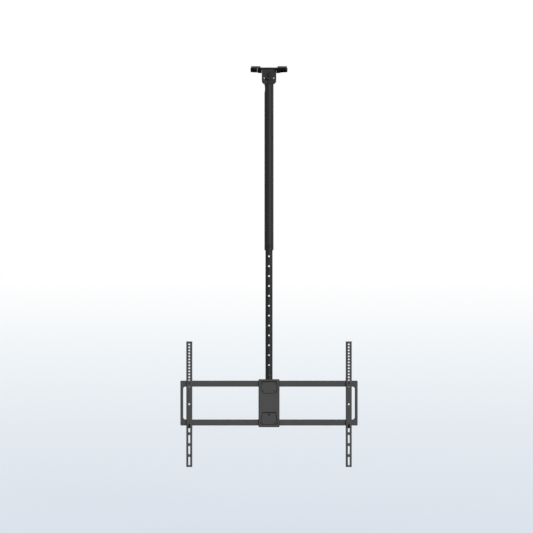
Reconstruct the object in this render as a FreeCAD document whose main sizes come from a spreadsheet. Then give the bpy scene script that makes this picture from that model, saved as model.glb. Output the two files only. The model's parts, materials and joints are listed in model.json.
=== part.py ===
import FreeCAD, Part
import math
import os
import Sketcher

# TV ceiling mount: a telescopic drop column under a swivelling ceiling joint, with a
# tilting frame and two hooked arms for a large screen. Millimetres. The origin is on
# the column's axis at the ceiling's face, +Z up, and the screen hangs on the -Y side.

DRIVING = {
    "plate_length": (181, "ceiling plate along X"),
    "plate_depth": (88, "ceiling plate along Y"),
    "plate_sheet": (3, "ceiling plate's sheet"),
    "plate_flange": (10, "turned-down edge at the raised ends"),
    "plate_corner": (5, "ceiling plate's rounded corners"),
    "joggle": (6.5, "drop of the middle below the ends"),
    "bridge_half": (39.5, "half length of the dropped middle"),
    "bridge_flange": (13.5, "turned-down edge at the middle, from the ceiling"),
    "ceiling_slot_x": (134, "ceiling slots along X, centre to centre"),
    "ceiling_slot_y": (54, "ceiling slots along Y, centre to centre"),
    "ceiling_slot_length": (26, "ceiling slot, end to end"),
    "ceiling_slot_width": (9, "ceiling slot"),
    "cover_wall": (2.7, "end cover's wall"),
    "cover_fit": (0.3, "end cover to plate edge"),
    "cover_lip": (1, "height by which a cover laps the plate's edge"),
    "cover_drop": (25, "end cover's underside"),
    "cover_rise": (2, "slope of a cover's underside towards its end"),
    "cover_step": (2.8, "drop of the cover's inner part"),
    "cover_step_length": (17.5, "length of the cover's inner part"),
    "cover_lap": (2.2, "reach of a cover below the plate's middle"),
    "cover_sweep": (47, "round cut-out of the covers for the turning yoke"),
    "cover_corner": (6, "end cover's upright corners"),
    "cover_edge": (3, "end cover's lower edges"),
    "swivel_bolt_radius": (5, "swivel bolt"),
    "swivel_nut": (3.2, "swivel bolt's thin nut, flush with its end"),
    "swivel_washer_radius": (30, "nylon swivel washer"),
    "swivel_washer_sheet": (1, "nylon swivel washer"),
    "disc_radius": (38, "swivel disc"),
    "disc_sheet": (3, "swivel disc"),
    "yoke_sheet": (4, "yoke's plate"),
    "yoke_width": (73, "yoke along X"),
    "yoke_bottom": (86, "yoke's lower edge below the ceiling"),
    "yoke_corner": (18, "yoke's rounded lower corners"),
    "yoke_fit": (0.5, "yoke's ear to the outer tube"),
    "hinge_drop": (42, "slope hinge below the ceiling"),
    "hinge_radius": (5, "hinge bolt"),
    "slope_arc": (27, "slope lock bolt from the hinge"),
    "slope_angle": (60, "slope to each side, degrees"),
    "lock_radius": (4, "lock bolts"),
    "lock_play": (0.25, "lock bolt in its slot"),
    "outer_radius": (23, "outer tube"),
    "tube_wall": (2, "both tubes' wall"),
    "tongue_half": (13, "half width of the outer tube's end tongues"),
    "mouth_drop": (12, "outer tube's side walls end this far below the hinge"),
    "outer_bottom": (860, "outer tube's lower end below the ceiling"),
    "cable_slot_top": (94, "cable slot's upper end below the ceiling"),
    "cable_slot_long": (33, "cable slot's height"),
    "cable_slot_wide": (20, "cable slot's width"),
    "collar_length": (67, "lock collar below the outer tube"),
    "spigot_length": (40, "collar's spigot inside the outer tube"),
    "spigot_fit": (0.1, "collar's spigot to the tube's bore"),
    "bush_length": (12, "lower guide bush"),
    "bush_wall": (2.2, "lower guide bush"),
    "height_lock_up": (19.4, "height lock bolt above the collar's lower end"),
    "inner_radius": (18.1, "inner tube"),
    "slide_fit": (0.3, "inner tube in its guides"),
    "inner_inside": (160, "inner tube's upper end above the outer tube's lower end"),
    "inner_below": (70, "inner tube's lower end below the tilt pivot"),
    "hole_pitch": (50, "height holes, centre to centre"),
    "hole_count": (13, "height holes, the locked one included"),
    "hole_radius": (4.3, "height holes"),
    "upper_bush_length": (30, "guide bush on the inner tube's upper end"),
    "frame_drop": (1695, "frame's middle below the ceiling"),
    "foot_sheet": (3, "foot bracket's and tilt bracket's plate"),
    "foot_top": (80, "foot bracket above the tilt pivot"),
    "foot_bottom": (75, "foot bracket below the tilt pivot"),
    "cross_bolt_up": (62, "upper cross bolt above the tilt pivot"),
    "cross_bolt_down": (55, "lower cross bolt below the tilt pivot"),
    "pivot_forward": (44, "tilt pivot in front of the column's axis"),
    "tilt_arc": (45, "tilt lock bolt above the tilt pivot"),
    "tilt_forward": (15, "tilt down towards the viewer, degrees"),
    "tilt_back": (5, "tilt up, degrees"),
    "flat_fit": (0.3, "flat faces that slide past each other"),
    "back_front": (72.5, "back plate's front face, from the axis"),
    "back_sheet": (3, "back plate"),
    "back_width": (90, "back plate"),
    "back_corner": (4, "back plate's corners"),
    "rail_depth": (15, "rails along Y"),
    "rail_height": (30, "rails"),
    "rail_pitch": (195, "rails, centre to centre"),
    "frame_sheet": (2.5, "rails', end plates', pan's and arms' sheet"),
    "bend": (4.5, "outside of the bends in that sheet"),
    "frame_width": (890, "frame from end to end"),
    "end_leg": (45, "end plate along X"),
    "end_strip": (14, "end plate's upright strip"),
    "end_corner": (12, "rounded corner of the end plate's opening"),
    "end_outer_corner": (5, "end plate's outer corners"),
    "pan_width": (105.5, "centre pan"),
    "pan_height": (241, "centre pan"),
    "pan_corner": (5, "centre pan's corners"),
    "recess_depth": (4, "pan's pressed recesses, sloped at half a right angle"),
    "upper_recess_half": (38, "upper recess's floor, half width"),
    "upper_recess_top": (107.5, "upper recess's floor above the frame's middle"),
    "upper_recess_foot": (51.5, "upper recess's floor, lower edge above the frame's middle"),
    "lower_recess_top": (48, "lower recess's floor, upper edge below the frame's middle"),
    "lower_recess_foot": (105, "lower recess's floor, lower edge below the frame's middle"),
    "lower_recess_head_half": (32, "lower recess's floor, half width at the top"),
    "lower_recess_foot_half": (41.5, "lower recess's floor, half width at the bottom"),
    "screw_radius": (3, "pan screws"),
    "arm_spacing": (800, "arms, centre to centre"),
    "arm_width": (30, "arm"),
    "arm_length": (630, "arm"),
    "arm_sheet": (2.5, "arm"),
    "arm_front": (98, "arm's front face, from the axis"),
    "arm_flange": (14, "arm's depth"),
    "arm_below": (4.7, "arm's middle hole below the frame's middle"),
    "arm_hole_radius": (4.4, "arm's holes"),
    "arm_hole_pitch": (15, "arm's upper holes"),
    "arm_hole_count": (15, "arm's upper holes"),
    "arm_hole_end": (15, "uppermost hole below the arm's upper end"),
    "arm_slot_width": (9, "arm's slots"),
    "arm_slot_length": (42, "arm's slots, end to end"),
    "arm_slot_pitch": (55, "arm's slots, centre to centre"),
    "arm_slot_end": (30, "lowest slot above the arm's lower end"),
    "arm_slot_count": (4, "arm's slots"),
    "hook_fit": (0.3, "hook to rail"),
    "hook_back": (6, "hook's thickness behind the rail"),
    "hook_rise": (14, "hook above the rail"),
    "hook_drop": (14, "hook's tip below the rail's upper edge"),
    "tab_sheet": (2.5, "arm's lock tab"),
    "tab_drop": (3.5, "lock tab below the bottom rail"),
    "tab_behind": (6.5, "lock tab behind the bottom rail"),
    "tab_lip": (9, "lock tab's lip above the rail's lower edge"),
    "lock_screw_radius": (2.5, "arm's thumb screw"),
    "knob_radius": (6, "thumb screw's knob"),
    "knob_length": (8, "thumb screw's knob"),
    "flats_ten": (17, "10 mm bolts and nuts across the flats"),
    "head_ten": (6.4, "10 mm bolt's head"),
    "nut_ten": (8.4, "10 mm nut"),
    "flats_eight": (13, "8 mm bolts and nuts across the flats"),
    "head_eight": (5.3, "8 mm bolt's head"),
    "nut_eight": (6.8, "8 mm nut"),
    "flats_six": (10, "6 mm nuts across the flats"),
    "nut_six": (5, "6 mm nut"),
    "washer_sheet": (2, "hinge washers"),
    "washer_radius": (10, "hinge washers"),
    "sleeve_wall": (3, "sleeves round bolts"),
    "yoke_rim": (2, "rounded rim of the yoke's ears"),
    "collar_groove": (0.6, "bevel where the collar meets the tube"),
    "collar_chamfer": (1.5, "collar's lower edge"),
    "foot_nose": (14, "foot bracket's metal in front of the pivot"),
    "foot_lobe": (12, "foot bracket's metal round the tilt lock"),
    "tilt_margin": (6, "tilt bracket's metal beside its slot"),
    "screw_rail_up": (99, "top rail's screws above the frame's middle"),
    "screw_rail_x": (31, "top rail's screws from the middle"),
    "screw_mid_up": (62, "middle screws above the frame's middle"),
    "screw_mid_x": (28, "middle screws from the middle"),
    "screw_low_up": (-98.5, "bottom rail's screws above the frame's middle"),
    "screw_low_x": (31, "bottom rail's screws from the middle"),
    "key_slot_down": (58, "slot for a key, below the frame's middle"),
    "key_slot_long": (14, "slot for a key, end to end"),
    "key_slot_wide": (6.2, "slot for a key"),
    "screw_head": (2.6, "pan screws' heads"),
    "screw_head_radius": (5.5, "pan screws' heads"),
    "recess_corner": (5, "rounded corners of the recesses"),
    "recess_foot_corner": (14, "rounded lower corners of the upper recess"),
    "recess_step": (0.3, "upright foot of the recesses' sloped sides"),
}

# Play on the radius: thread in nut, turning shaft, bolt in its hole, pushed-in piece.
THREAD_PLAY = 0.05
RUNNING_PLAY = 0.08
BOLT_HOLE_PLAY = 0.1
FIXED_FIT = 0.05
# Thread that stands out of a nut, and how far a cut runs past the metal.
THREAD_END = 1.5
PAST = 1
# Half of the joggle's 45 degree fold, and the tilt slot's spare degree at each end.
HALF_FOLD = 22.5
DRAFT = 45
TILT_SLACK = 1

pieces = []
doc = FreeCAD.newDocument("TvCeilingMount")
sheet = doc.addObject("Spreadsheet::Sheet", "Sizes")
for row, (alias, (number, meaning)) in enumerate(DRIVING.items(), start=1):
    sheet.set(f"A{row}", meaning)
    sheet.set(f"B{row}", str(number))
    sheet.setAlias(f"B{row}", alias)
doc.recompute()


class Size:
    """A number together with the sheet expression that drives it."""

    def __init__(self, number, text):
        self.number = float(number)
        self.text = text

    @staticmethod
    def of(value):
        return value if isinstance(value, Size) else Size(value, f"({float(value)!r})")

    def __add__(self, other):
        other = Size.of(other)
        return Size(self.number + other.number, f"({self.text} + {other.text})")

    def __sub__(self, other):
        other = Size.of(other)
        return Size(self.number - other.number, f"({self.text} - {other.text})")

    def __mul__(self, other):
        other = Size.of(other)
        return Size(self.number * other.number, f"({self.text} * {other.text})")

    def __truediv__(self, other):
        other = Size.of(other)
        return Size(self.number / other.number, f"({self.text} / {other.text})")

    def __neg__(self):
        return Size(-self.number, f"(0 - {self.text})")

    def __radd__(self, other):
        return Size.of(other) + self

    def __rsub__(self, other):
        return Size.of(other) - self

    def __rmul__(self, other):
        return Size.of(other) * self

    def root(self):
        return Size(math.sqrt(self.number), f"sqrt({self.text})")

    def sine(self):
        return Size(math.sin(math.radians(self.number)), f"sin({self.text} * 1 deg)")

    def cosine(self):
        return Size(math.cos(math.radians(self.number)), f"cos({self.text} * 1 deg)")


def cell(alias):
    return Size(DRIVING[alias][0], f"Sizes.{alias}")


def bind(item, name, size):
    item.setExpression(name, Size.of(size).text)


# Sketches and body features


def plane_of(body, role):
    return next(item for item in body.Origin.OriginFeatures if item.Role == role)


def new_body(label):
    body = doc.addObject("PartDesign::Body", "Body_" + label)
    body.Label = label
    return body


def sketch(body, role, offset=0):
    """A sketch on a body's own plane. XZ sketches face -Y, so their offset runs to -Y."""
    item = body.newObject("Sketcher::SketchObject", body.Name + "_sketch")
    item.AttachmentSupport = [(plane_of(body, role), "")]
    item.MapMode = "FlatFace"
    bind(item, "AttachmentOffset.Base.z", offset)
    return item


def flat(point):
    return FreeCAD.Vector(Size.of(point[0]).number, Size.of(point[1]).number, 0)


def datum(item, kind, where, size):
    size = Size.of(size)
    index = item.addConstraint(Sketcher.Constraint(kind, *where, size.number))
    item.setExpression(f"Constraints[{index}]", size.text)


def pin(item, geometry, end, point):
    datum(item, "DistanceX", (-1, 1, geometry, end), point[0])
    datum(item, "DistanceY", (-1, 1, geometry, end), point[1])


def polygon(item, points):
    first = item.GeometryCount
    count = len(points)
    for index in range(count):
        start = flat(points[index])
        end = flat(points[(index + 1) % count])
        item.addGeometry(Part.LineSegment(start, end), False)
    for index in range(count):
        following = first + (index + 1) % count
        item.addConstraint(Sketcher.Constraint("Coincident", first + index, 2, following, 1))
        pin(item, first + index, 1, points[index])


def rectangle(item, low, high):
    polygon(item, [low, (high[0], low[1]), high, (low[0], high[1])])


def circle(item, centre, radius):
    radius = Size.of(radius)
    index = item.addGeometry(Part.Circle(flat(centre), FreeCAD.Vector(0, 0, 1), radius.number), False)
    pin(item, index, 3, centre)
    datum(item, "Radius", (index,), radius)


def arc(centre, radius, start, end):
    full = Part.Circle(flat(centre), FreeCAD.Vector(0, 0, 1), radius)
    return Part.ArcOfCircle(full, math.radians(start), math.radians(end))


def tangent(item, first, first_end, second, second_end):
    item.addConstraint(Sketcher.Constraint("Tangent", first, first_end, second, second_end))


def slot(item, centre, length, width, upright):
    """A round-ended slot, upright or lying along the sketch's first axis."""
    radius = Size.of(width) / 2
    reach = (Size.of(length) - width) / 2
    if upright:
        near, far, turn = (centre[0], centre[1] - reach), (centre[0], centre[1] + reach), 0
        side = FreeCAD.Vector(radius.number, 0, 0)
    else:
        near, far, turn = (centre[0] + reach, centre[1]), (centre[0] - reach, centre[1]), 90
        side = FreeCAD.Vector(0, radius.number, 0)
    low = item.addGeometry(arc(near, radius.number, 180 + turn, 360 + turn), False)
    high = item.addGeometry(arc(far, radius.number, turn, 180 + turn), False)
    right = item.addGeometry(Part.LineSegment(flat(near) + side, flat(far) + side), False)
    left = item.addGeometry(Part.LineSegment(flat(far) - side, flat(near) - side), False)
    tangent(item, low, 2, right, 1)
    tangent(item, right, 2, high, 1)
    tangent(item, high, 2, left, 1)
    tangent(item, left, 2, low, 1)
    item.addConstraint(Sketcher.Constraint("Equal", low, high))
    datum(item, "Radius", (low,), radius)
    pin(item, low, 3, near)
    pin(item, high, 3, far)


def arc_slot(item, centre, radius, start, end, half_width):
    """A slot bent round a centre, between two angles in degrees."""
    radius, half_width = Size.of(radius), Size.of(half_width)
    start, end = Size.of(start), Size.of(end)
    inside, outside = radius - half_width, radius + half_width
    outer = item.addGeometry(arc(centre, outside.number, start.number, end.number), False)
    inner = item.addGeometry(arc(centre, inside.number, start.number, end.number), False)
    caps = []
    for angle, turn in ((start, 180), (end, 0)):
        middle = (centre[0] + radius * angle.cosine(), centre[1] + radius * angle.sine())
        first = angle.number + turn
        cap = item.addGeometry(arc(middle, half_width.number, first, first + 180), False)
        datum(item, "DistanceX", (-1, 1, cap, 3), middle[0])
        caps.append(cap)
    for index, size in ((outer, outside), (inner, inside)):
        pin(item, index, 3, centre)
        datum(item, "Radius", (index,), size)
    tangent(item, caps[0], 2, outer, 1)
    tangent(item, outer, 2, caps[1], 1)
    tangent(item, caps[1], 2, inner, 2)
    tangent(item, inner, 1, caps[0], 1)


def pad(body, item, length, taper=0):
    """A solid on the sketch's plane; a taper widens it as it rises."""
    feature = body.newObject("PartDesign::Pad", body.Name + "_pad")
    feature.Profile = item
    feature.TaperAngle = taper
    bind(feature, "Length", length)
    body.Tip = feature
    return feature


def pocket(body, item, length):
    """A cut from the sketch's plane along its normal."""
    feature = body.newObject("PartDesign::Pocket", body.Name + "_pocket")
    feature.Profile = item
    feature.Reversed = True
    bind(feature, "Length", length)
    body.Tip = feature
    return feature


def revolve(body, item):
    feature = body.newObject("PartDesign::Revolution", body.Name + "_turned")
    feature.Profile = item
    feature.ReferenceAxis = (plane_of(body, "Z_Axis"), [""])
    feature.Angle = 360
    body.Tip = feature
    return feature


def repeat_down(body, original, pitch, count):
    """Copies of a cut, one pitch after the other towards -Z."""
    feature = body.newObject("PartDesign::LinearPattern", body.Name + "_row")
    feature.Originals = [original]
    feature.Direction = (plane_of(body, "Z_Axis"), [""])
    feature.Reversed = True
    bind(feature, "Length", pitch * (count - 1))
    bind(feature, "Occurrences", count)
    body.Tip = feature
    return feature


def round_edges(body, radius, chosen):
    """A fillet on the edges of the body's last feature that the test picks out."""
    doc.recompute()
    base = body.Tip
    names = [f"Edge{i}" for i, edge in enumerate(base.Shape.Edges, start=1) if chosen(edge)]
    if not names:
        raise ValueError(body.Label + " has no edge to round there")
    feature = body.newObject("PartDesign::Fillet", body.Name + "_fillet")
    feature.Base = (base, names)
    bind(feature, "Radius", radius)
    body.Tip = feature
    return feature


def slope_edges(body, size, chosen):
    """A slope at half a right angle on the edges that the test picks out."""
    doc.recompute()
    base = body.Tip
    names = [f"Edge{i}" for i, edge in enumerate(base.Shape.Edges, start=1) if chosen(edge)]
    if not names:
        raise ValueError(body.Label + " has no edge to slope there")
    feature = body.newObject("PartDesign::Chamfer", body.Name + "_slope")
    feature.Base = (base, names)
    bind(feature, "Size", size)
    body.Tip = feature
    return feature


def runs_along(edge, axis):
    """Whether an edge is a straight one along the named axis."""
    first, last = edge.Vertexes[0].Point, edge.Vertexes[-1].Point
    along = last - first
    across = [abs(getattr(along, other)) for other in "xyz" if other != axis]
    return along.Length > 0.5 and max(across) < 1e-6


def near(value, target):
    return abs(value - Size.of(target).number) < 0.01


# Turned and plain pieces

TURNS = {
    "X": FreeCAD.Rotation(FreeCAD.Vector(0, 1, 0), 90),
    "Y": FreeCAD.Rotation(FreeCAD.Vector(1, 0, 0), -90),
    "Z": FreeCAD.Rotation(),
}


def placed(item, place, axis="Z"):
    item.Placement = FreeCAD.Placement(FreeCAD.Vector(), TURNS[axis])
    for name, size in zip("xyz", place):
        bind(item, f"Placement.Base.{name}", size)
    return item


def cylinder(name, radius, length, place, axis="Z"):
    """A cylinder that starts at a place and runs along an axis."""
    item = placed(doc.addObject("Part::Cylinder", name), place, axis)
    bind(item, "Radius", radius)
    bind(item, "Height", length)
    return item


def hexagon(name, flats, length, place, axis="Z"):
    """A six-sided prism, measured across its flats."""
    item = placed(doc.addObject("Part::Prism", name), place, axis)
    item.Polygon = 6
    bind(item, "Circumradius", Size.of(flats) / 2 / Size.of(30).cosine())
    bind(item, "Height", length)
    return item


def without(name, base, *tools):
    """A piece less one or more others."""
    for index, tool in enumerate(tools):
        last = index == len(tools) - 1
        cut = doc.addObject("Part::Cut", name if last else f"{name}_cut{index}")
        cut.Base = base
        cut.Tool = tool
        base = cut
    return base


def joined(name, *items):
    union = doc.addObject("Part::MultiFuse", name)
    union.Shapes = list(items)
    return union


def gathered(name, *items):
    """Like pieces kept as separate solids in one group."""
    group = doc.addObject("Part::Compound", name)
    group.Links = list(items)
    return group


def tube(name, radius, bore, length, place, axis="Z"):
    outside = cylinder(name + "_outside", radius, length, place, axis)
    inside = cylinder(name + "_inside", bore, length, place, axis)
    return without(name, outside, inside)


def shifted(place, axis, distance):
    """A place moved along an axis."""
    moved = list(place)
    index = "XYZ".index(axis)
    moved[index] = moved[index] + distance
    return moved


def bolt(name, radius, flats, head, length, place, axis):
    """A hexagon bolt whose shank starts at a place and runs along an axis; the head is before it."""
    shank = cylinder(name + "_shank", radius, length, place, axis)
    top = hexagon(name + "_head", flats, head, shifted(place, axis, -Size.of(head)), axis)
    return joined(name, top, shank)


def nut(name, radius, flats, height, place, axis):
    body = hexagon(name + "_body", flats, height, place, axis)
    hole = cylinder(name + "_hole", radius + THREAD_PLAY, height, place, axis)
    return without(name, body, hole)


def keep(label, item):
    """Gives a finished piece its label and puts it on the list of parts."""
    item.Label = label
    pieces.append(item)


# Ceiling plate and its covers


def plate_outline(grow_down_ends, grow_down_middle, inset):
    """The plate's section along X: raised ends and a dropped middle, closed below."""
    half = cell("plate_length") / 2 - inset
    bridge, joggle = cell("bridge_half"), cell("joggle")
    top_turn = bridge + joggle
    return [
        (-half, 0),
        (-top_turn, 0),
        (-bridge, -joggle),
        (bridge, -joggle),
        (top_turn, 0),
        (half, 0),
        (half, -grow_down_ends),
        (top_turn, -grow_down_ends),
        (bridge, -grow_down_middle),
        (-bridge, -grow_down_middle),
        (-top_turn, -grow_down_ends),
        (-half, -grow_down_ends),
    ]


def ceiling_plate():
    body = new_body("ceiling_plate")
    depth, sheet_t = cell("plate_depth"), cell("plate_sheet")
    outline = sketch(body, "XZ_Plane", -depth / 2)
    polygon(outline, plate_outline(cell("plate_flange"), cell("bridge_flange"), 0))
    pad(body, outline, depth)
    half = cell("plate_length") / 2
    corner = cell("plate_corner")
    round_edges(body, corner, lambda e: runs_along(e, "z") and near(abs(e.Vertexes[0].Point.x), half))
    hollow = sketch(body, "XZ_Plane", -depth / 2 + sheet_t)
    inner = half - sheet_t
    bend = sheet_t * math.tan(math.radians(HALF_FOLD))
    bridge, joggle = cell("bridge_half"), cell("joggle")
    top_turn = bridge + joggle
    deep = cell("bridge_flange") + PAST
    polygon(
        hollow,
        [
            (-inner, -sheet_t),
            (-top_turn + bend, -sheet_t),
            (-bridge + bend, -joggle - sheet_t),
            (bridge - bend, -joggle - sheet_t),
            (top_turn - bend, -sheet_t),
            (inner, -sheet_t),
            (inner, -deep),
            (-inner, -deep),
        ],
    )
    pocket(body, hollow, depth - sheet_t * 2)
    holes = sketch(body, "XY_Plane", -deep)
    for side_x in (-1, 1):
        for side_y in (-1, 1):
            centre = (side_x * cell("ceiling_slot_x") / 2, side_y * cell("ceiling_slot_y") / 2)
            slot(holes, centre, cell("ceiling_slot_length"), cell("ceiling_slot_width"), False)
    circle(holes, (0, 0), cell("swivel_bolt_radius") + BOLT_HOLE_PLAY)
    pocket(body, holes, deep + PAST)
    keep("ceiling_plate", body)


def cover_room(body, offset, start, end, half_y, radius):
    """The hollow's outline: a rectangle whose inner side is bent round the yoke."""
    item = sketch(body, "XY_Plane", offset)
    corners = [(start, -half_y), (end, -half_y), (end, half_y), (start, half_y)]
    meet_y = math.sqrt(radius.number**2 - start.number**2)
    meets = [(start, meet_y), (start, -meet_y)]
    for first, last in zip(corners, corners[1:] + meets[:1]):
        item.addGeometry(Part.LineSegment(flat(first), flat(last)), False)
    item.addGeometry(Part.LineSegment(flat(meets[1]), flat(corners[0])), False)
    spread = math.degrees(math.asin(meet_y / radius.number))
    item.addGeometry(arc((0, 0), radius.number, -spread, spread), False)
    for index, corner in enumerate(corners):
        pin(item, index, 1, corner)
    for first, first_end, second, second_end in (
        (0, 2, 1, 1),
        (1, 2, 2, 1),
        (2, 2, 3, 1),
        (3, 2, 5, 2),
        (5, 1, 4, 1),
        (4, 2, 0, 1),
    ):
        item.addConstraint(Sketcher.Constraint("Coincident", first, first_end, second, second_end))
    datum(item, "DistanceX", (-1, 1, 3, 2), start)
    datum(item, "DistanceX", (-1, 1, 4, 1), start)
    pin(item, 5, 3, (0, 0))
    datum(item, "Radius", (5,), radius)
    return item


def end_cover(label, turn):
    """A glossy cap under one end of the plate, cut round for the yoke."""
    body = new_body(label)
    wall, gap = cell("cover_wall"), cell("cover_fit")
    top = cell("cover_lip") - cell("plate_flange")
    half_y = cell("plate_depth") / 2 + gap + wall
    end = cell("plate_length") / 2 + gap + wall
    start = cell("bridge_half") - cell("cover_lap")
    step = start + cell("cover_step_length")
    shelf = -cell("bridge_flange") - gap
    shelf_end = cell("bridge_half") + cell("joggle")
    drop = -cell("cover_drop")
    lowest = drop - cell("cover_step")
    outline = sketch(body, "XZ_Plane", -half_y)
    polygon(
        outline,
        [
            (start, shelf),
            (shelf_end, shelf),
            (shelf_end, top),
            (end, top),
            (end, drop + cell("cover_rise")),
            (step, drop),
            (step, lowest),
            (start, lowest),
        ],
    )
    pad(body, outline, half_y * 2)
    corner = cell("cover_corner")
    round_edges(body, corner, lambda e: runs_along(e, "z") and near(e.Vertexes[0].Point.x, end))
    lower = (drop + cell("cover_rise")).number + 0.1
    bent = (end - corner).number - 0.1

    def lower_rim(edge):
        box = edge.BoundBox
        sides = near(box.YMin, half_y) or near(box.YMax, -half_y) or near(box.XMin, end)
        return box.ZMax < lower and (sides or box.XMin > bent)

    round_edges(body, cell("cover_edge"), lower_rim)
    sweep = sketch(body, "XY_Plane", lowest - PAST)
    circle(sweep, (0, 0), cell("cover_sweep"))
    pocket(body, sweep, top - lowest + PAST * 2)
    floor = drop + cell("cover_rise") + wall
    room = cover_room(body, floor, start + wall, end - wall, half_y - wall, cell("cover_sweep") + wall)
    pocket(body, room, top - floor + PAST)
    body.Placement = FreeCAD.Placement(FreeCAD.Vector(), FreeCAD.Rotation(FreeCAD.Vector(0, 0, 1), turn))
    keep(label, body)


# The swivel under the plate


def disc_under():
    """Height of the swivel disc's underside, where the yoke is welded on."""
    stack = cell("joggle") + cell("plate_sheet") + cell("swivel_washer_sheet") + cell("disc_sheet")
    return -stack


def swivel_pieces():
    """The pieces that stay with the ceiling: bolt, nut and nylon washer."""
    radius = cell("swivel_bolt_radius")
    bridge_top = -cell("joggle")
    web_under = disc_under() - cell("yoke_sheet")
    length = bridge_top + cell("swivel_nut") - web_under
    foot = (0, 0, web_under)
    flats = cell("flats_ten")
    keep("swivel_bolt", bolt("swivel_bolt", radius, flats, cell("head_ten"), length, foot, "Z"))
    keep("swivel_nut", nut("swivel_nut", radius, flats, cell("swivel_nut"), (0, 0, bridge_top), "Z"))
    thick = cell("swivel_washer_sheet")
    place = (0, 0, disc_under() + cell("disc_sheet"))
    bore = radius + BOLT_HOLE_PLAY
    keep("swivel_washer", tube("swivel_washer", cell("swivel_washer_radius"), bore, thick, place))


def swivel_disc():
    bore = cell("swivel_bolt_radius") + RUNNING_PLAY
    place = (0, 0, disc_under())
    keep("swivel_disc", tube("swivel_disc", cell("disc_radius"), bore, cell("disc_sheet"), place))


def ear_inside():
    return cell("outer_radius") + cell("yoke_fit")


def ear_outside():
    return ear_inside() + cell("yoke_sheet")


def yoke():
    """A U of plate whose ears hold the column's end, with a bent slot for the slope lock."""
    body = new_body("yoke")
    half = cell("yoke_width") / 2
    inside, outside = ear_inside(), ear_outside()
    top = disc_under()
    under = top - cell("yoke_sheet")
    bottom = -cell("yoke_bottom")
    section = sketch(body, "YZ_Plane", -half)
    polygon(
        section,
        [
            (-outside, bottom),
            (-inside, bottom),
            (-inside, under),
            (inside, under),
            (inside, bottom),
            (outside, bottom),
            (outside, top),
            (-outside, top),
        ],
    )
    pad(body, section, half * 2)

    def lower_corner(edge):
        start = edge.Vertexes[0].Point
        return runs_along(edge, "y") and near(start.z, bottom)

    def fold(edge):
        start = edge.Vertexes[0].Point
        return runs_along(edge, "x") and near(start.z, top) and near(abs(start.y), outside)

    round_edges(body, cell("yoke_corner"), lower_corner)
    round_edges(body, cell("yoke_sheet"), fold)

    def rim(edge):
        box = edge.BoundBox
        flat_on_ear = near(box.YMin, outside) and near(box.YMax, outside)
        flat_on_ear = flat_on_ear or (near(box.YMin, -outside) and near(box.YMax, -outside))
        return flat_on_ear and box.ZMax < top.number - cell("yoke_sheet").number + 0.01 and box.ZLength > 1

    round_edges(body, cell("yoke_rim"), rim)
    holes = sketch(body, "XZ_Plane", -outside - PAST)
    circle(holes, (0, -cell("hinge_drop")), cell("hinge_radius") + BOLT_HOLE_PLAY)
    play = cell("lock_radius") + cell("lock_play")
    slope = cell("slope_angle")
    centre = (Size.of(0), -cell("hinge_drop"))
    arc_slot(holes, centre, cell("slope_arc"), -90 - slope, slope - 90, play)
    pocket(body, holes, (outside + PAST) * 2)
    bore = sketch(body, "XY_Plane", under - PAST)
    circle(bore, (0, 0), cell("swivel_bolt_radius") + RUNNING_PLAY)
    pocket(body, bore, cell("yoke_sheet") + PAST * 2)
    keep("yoke", body)


def hinge_pieces():
    """The bolt that the column swings on, with a washer at each ear."""
    radius = cell("hinge_radius")
    thick = cell("washer_sheet")
    face = ear_outside()
    level = -cell("hinge_drop")
    washers = []
    for index, start in enumerate((-face - thick, face)):
        name, place = f"hinge_washer_{index}", (0, start, level)
        washers.append(tube(name, cell("washer_radius"), radius + BOLT_HOLE_PLAY, thick, place, "Y"))
    keep("hinge_washers", gathered("hinge_washers", *washers))
    start = (0, -face - thick, level)
    length = (face + thick) * 2 + cell("nut_ten") + THREAD_END
    keep("hinge_bolt", bolt("hinge_bolt", radius, cell("flats_ten"), cell("head_ten"), length, start, "Y"))
    place = (0, face + thick, level)
    keep("hinge_nut", nut("hinge_nut", radius, cell("flats_ten"), cell("nut_ten"), place, "Y"))


# Outer tube and what is fixed in it


def mouth_outline(item):
    """The tube's upper end: all but a round-topped tongue in front and behind is cut away."""
    wide = cell("outer_radius") + PAST
    low = -cell("hinge_drop") - cell("mouth_drop")
    high = -cell("hinge_drop") + cell("tongue_half") + PAST
    half = cell("tongue_half")
    centre = (Size.of(0), -cell("hinge_drop"))
    corners = [(-wide, low), (-half, low), (half, low), (wide, low), (wide, high), (-wide, high)]
    left_foot, right_foot = (-half, centre[1]), (half, centre[1])
    runs = [
        (corners[0], corners[1]),
        (corners[1], left_foot),
        (right_foot, corners[2]),
        (corners[2], corners[3]),
        (corners[3], corners[4]),
        (corners[4], corners[5]),
        (corners[5], corners[0]),
    ]
    for start, end in runs:
        item.addGeometry(Part.LineSegment(flat(start), flat(end)), False)
    top = item.addGeometry(arc(centre, half.number, 0, 180), False)
    for first, second in ((0, 1), (2, 3), (3, 4), (4, 5), (5, 6), (6, 0)):
        item.addConstraint(Sketcher.Constraint("Coincident", first, 2, second, 1))
    tangent(item, 1, 2, top, 2)
    tangent(item, 2, 1, top, 1)
    for line, corner in zip((0, 1, 3, 4, 5, 6), corners):
        pin(item, line, 1, corner)
    pin(item, top, 3, centre)
    datum(item, "Radius", (top,), half)


def annulus(item, outside, inside):
    circle(item, (0, 0), outside)
    circle(item, (0, 0), inside)


def outer_bore():
    return cell("outer_radius") - cell("tube_wall")


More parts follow.
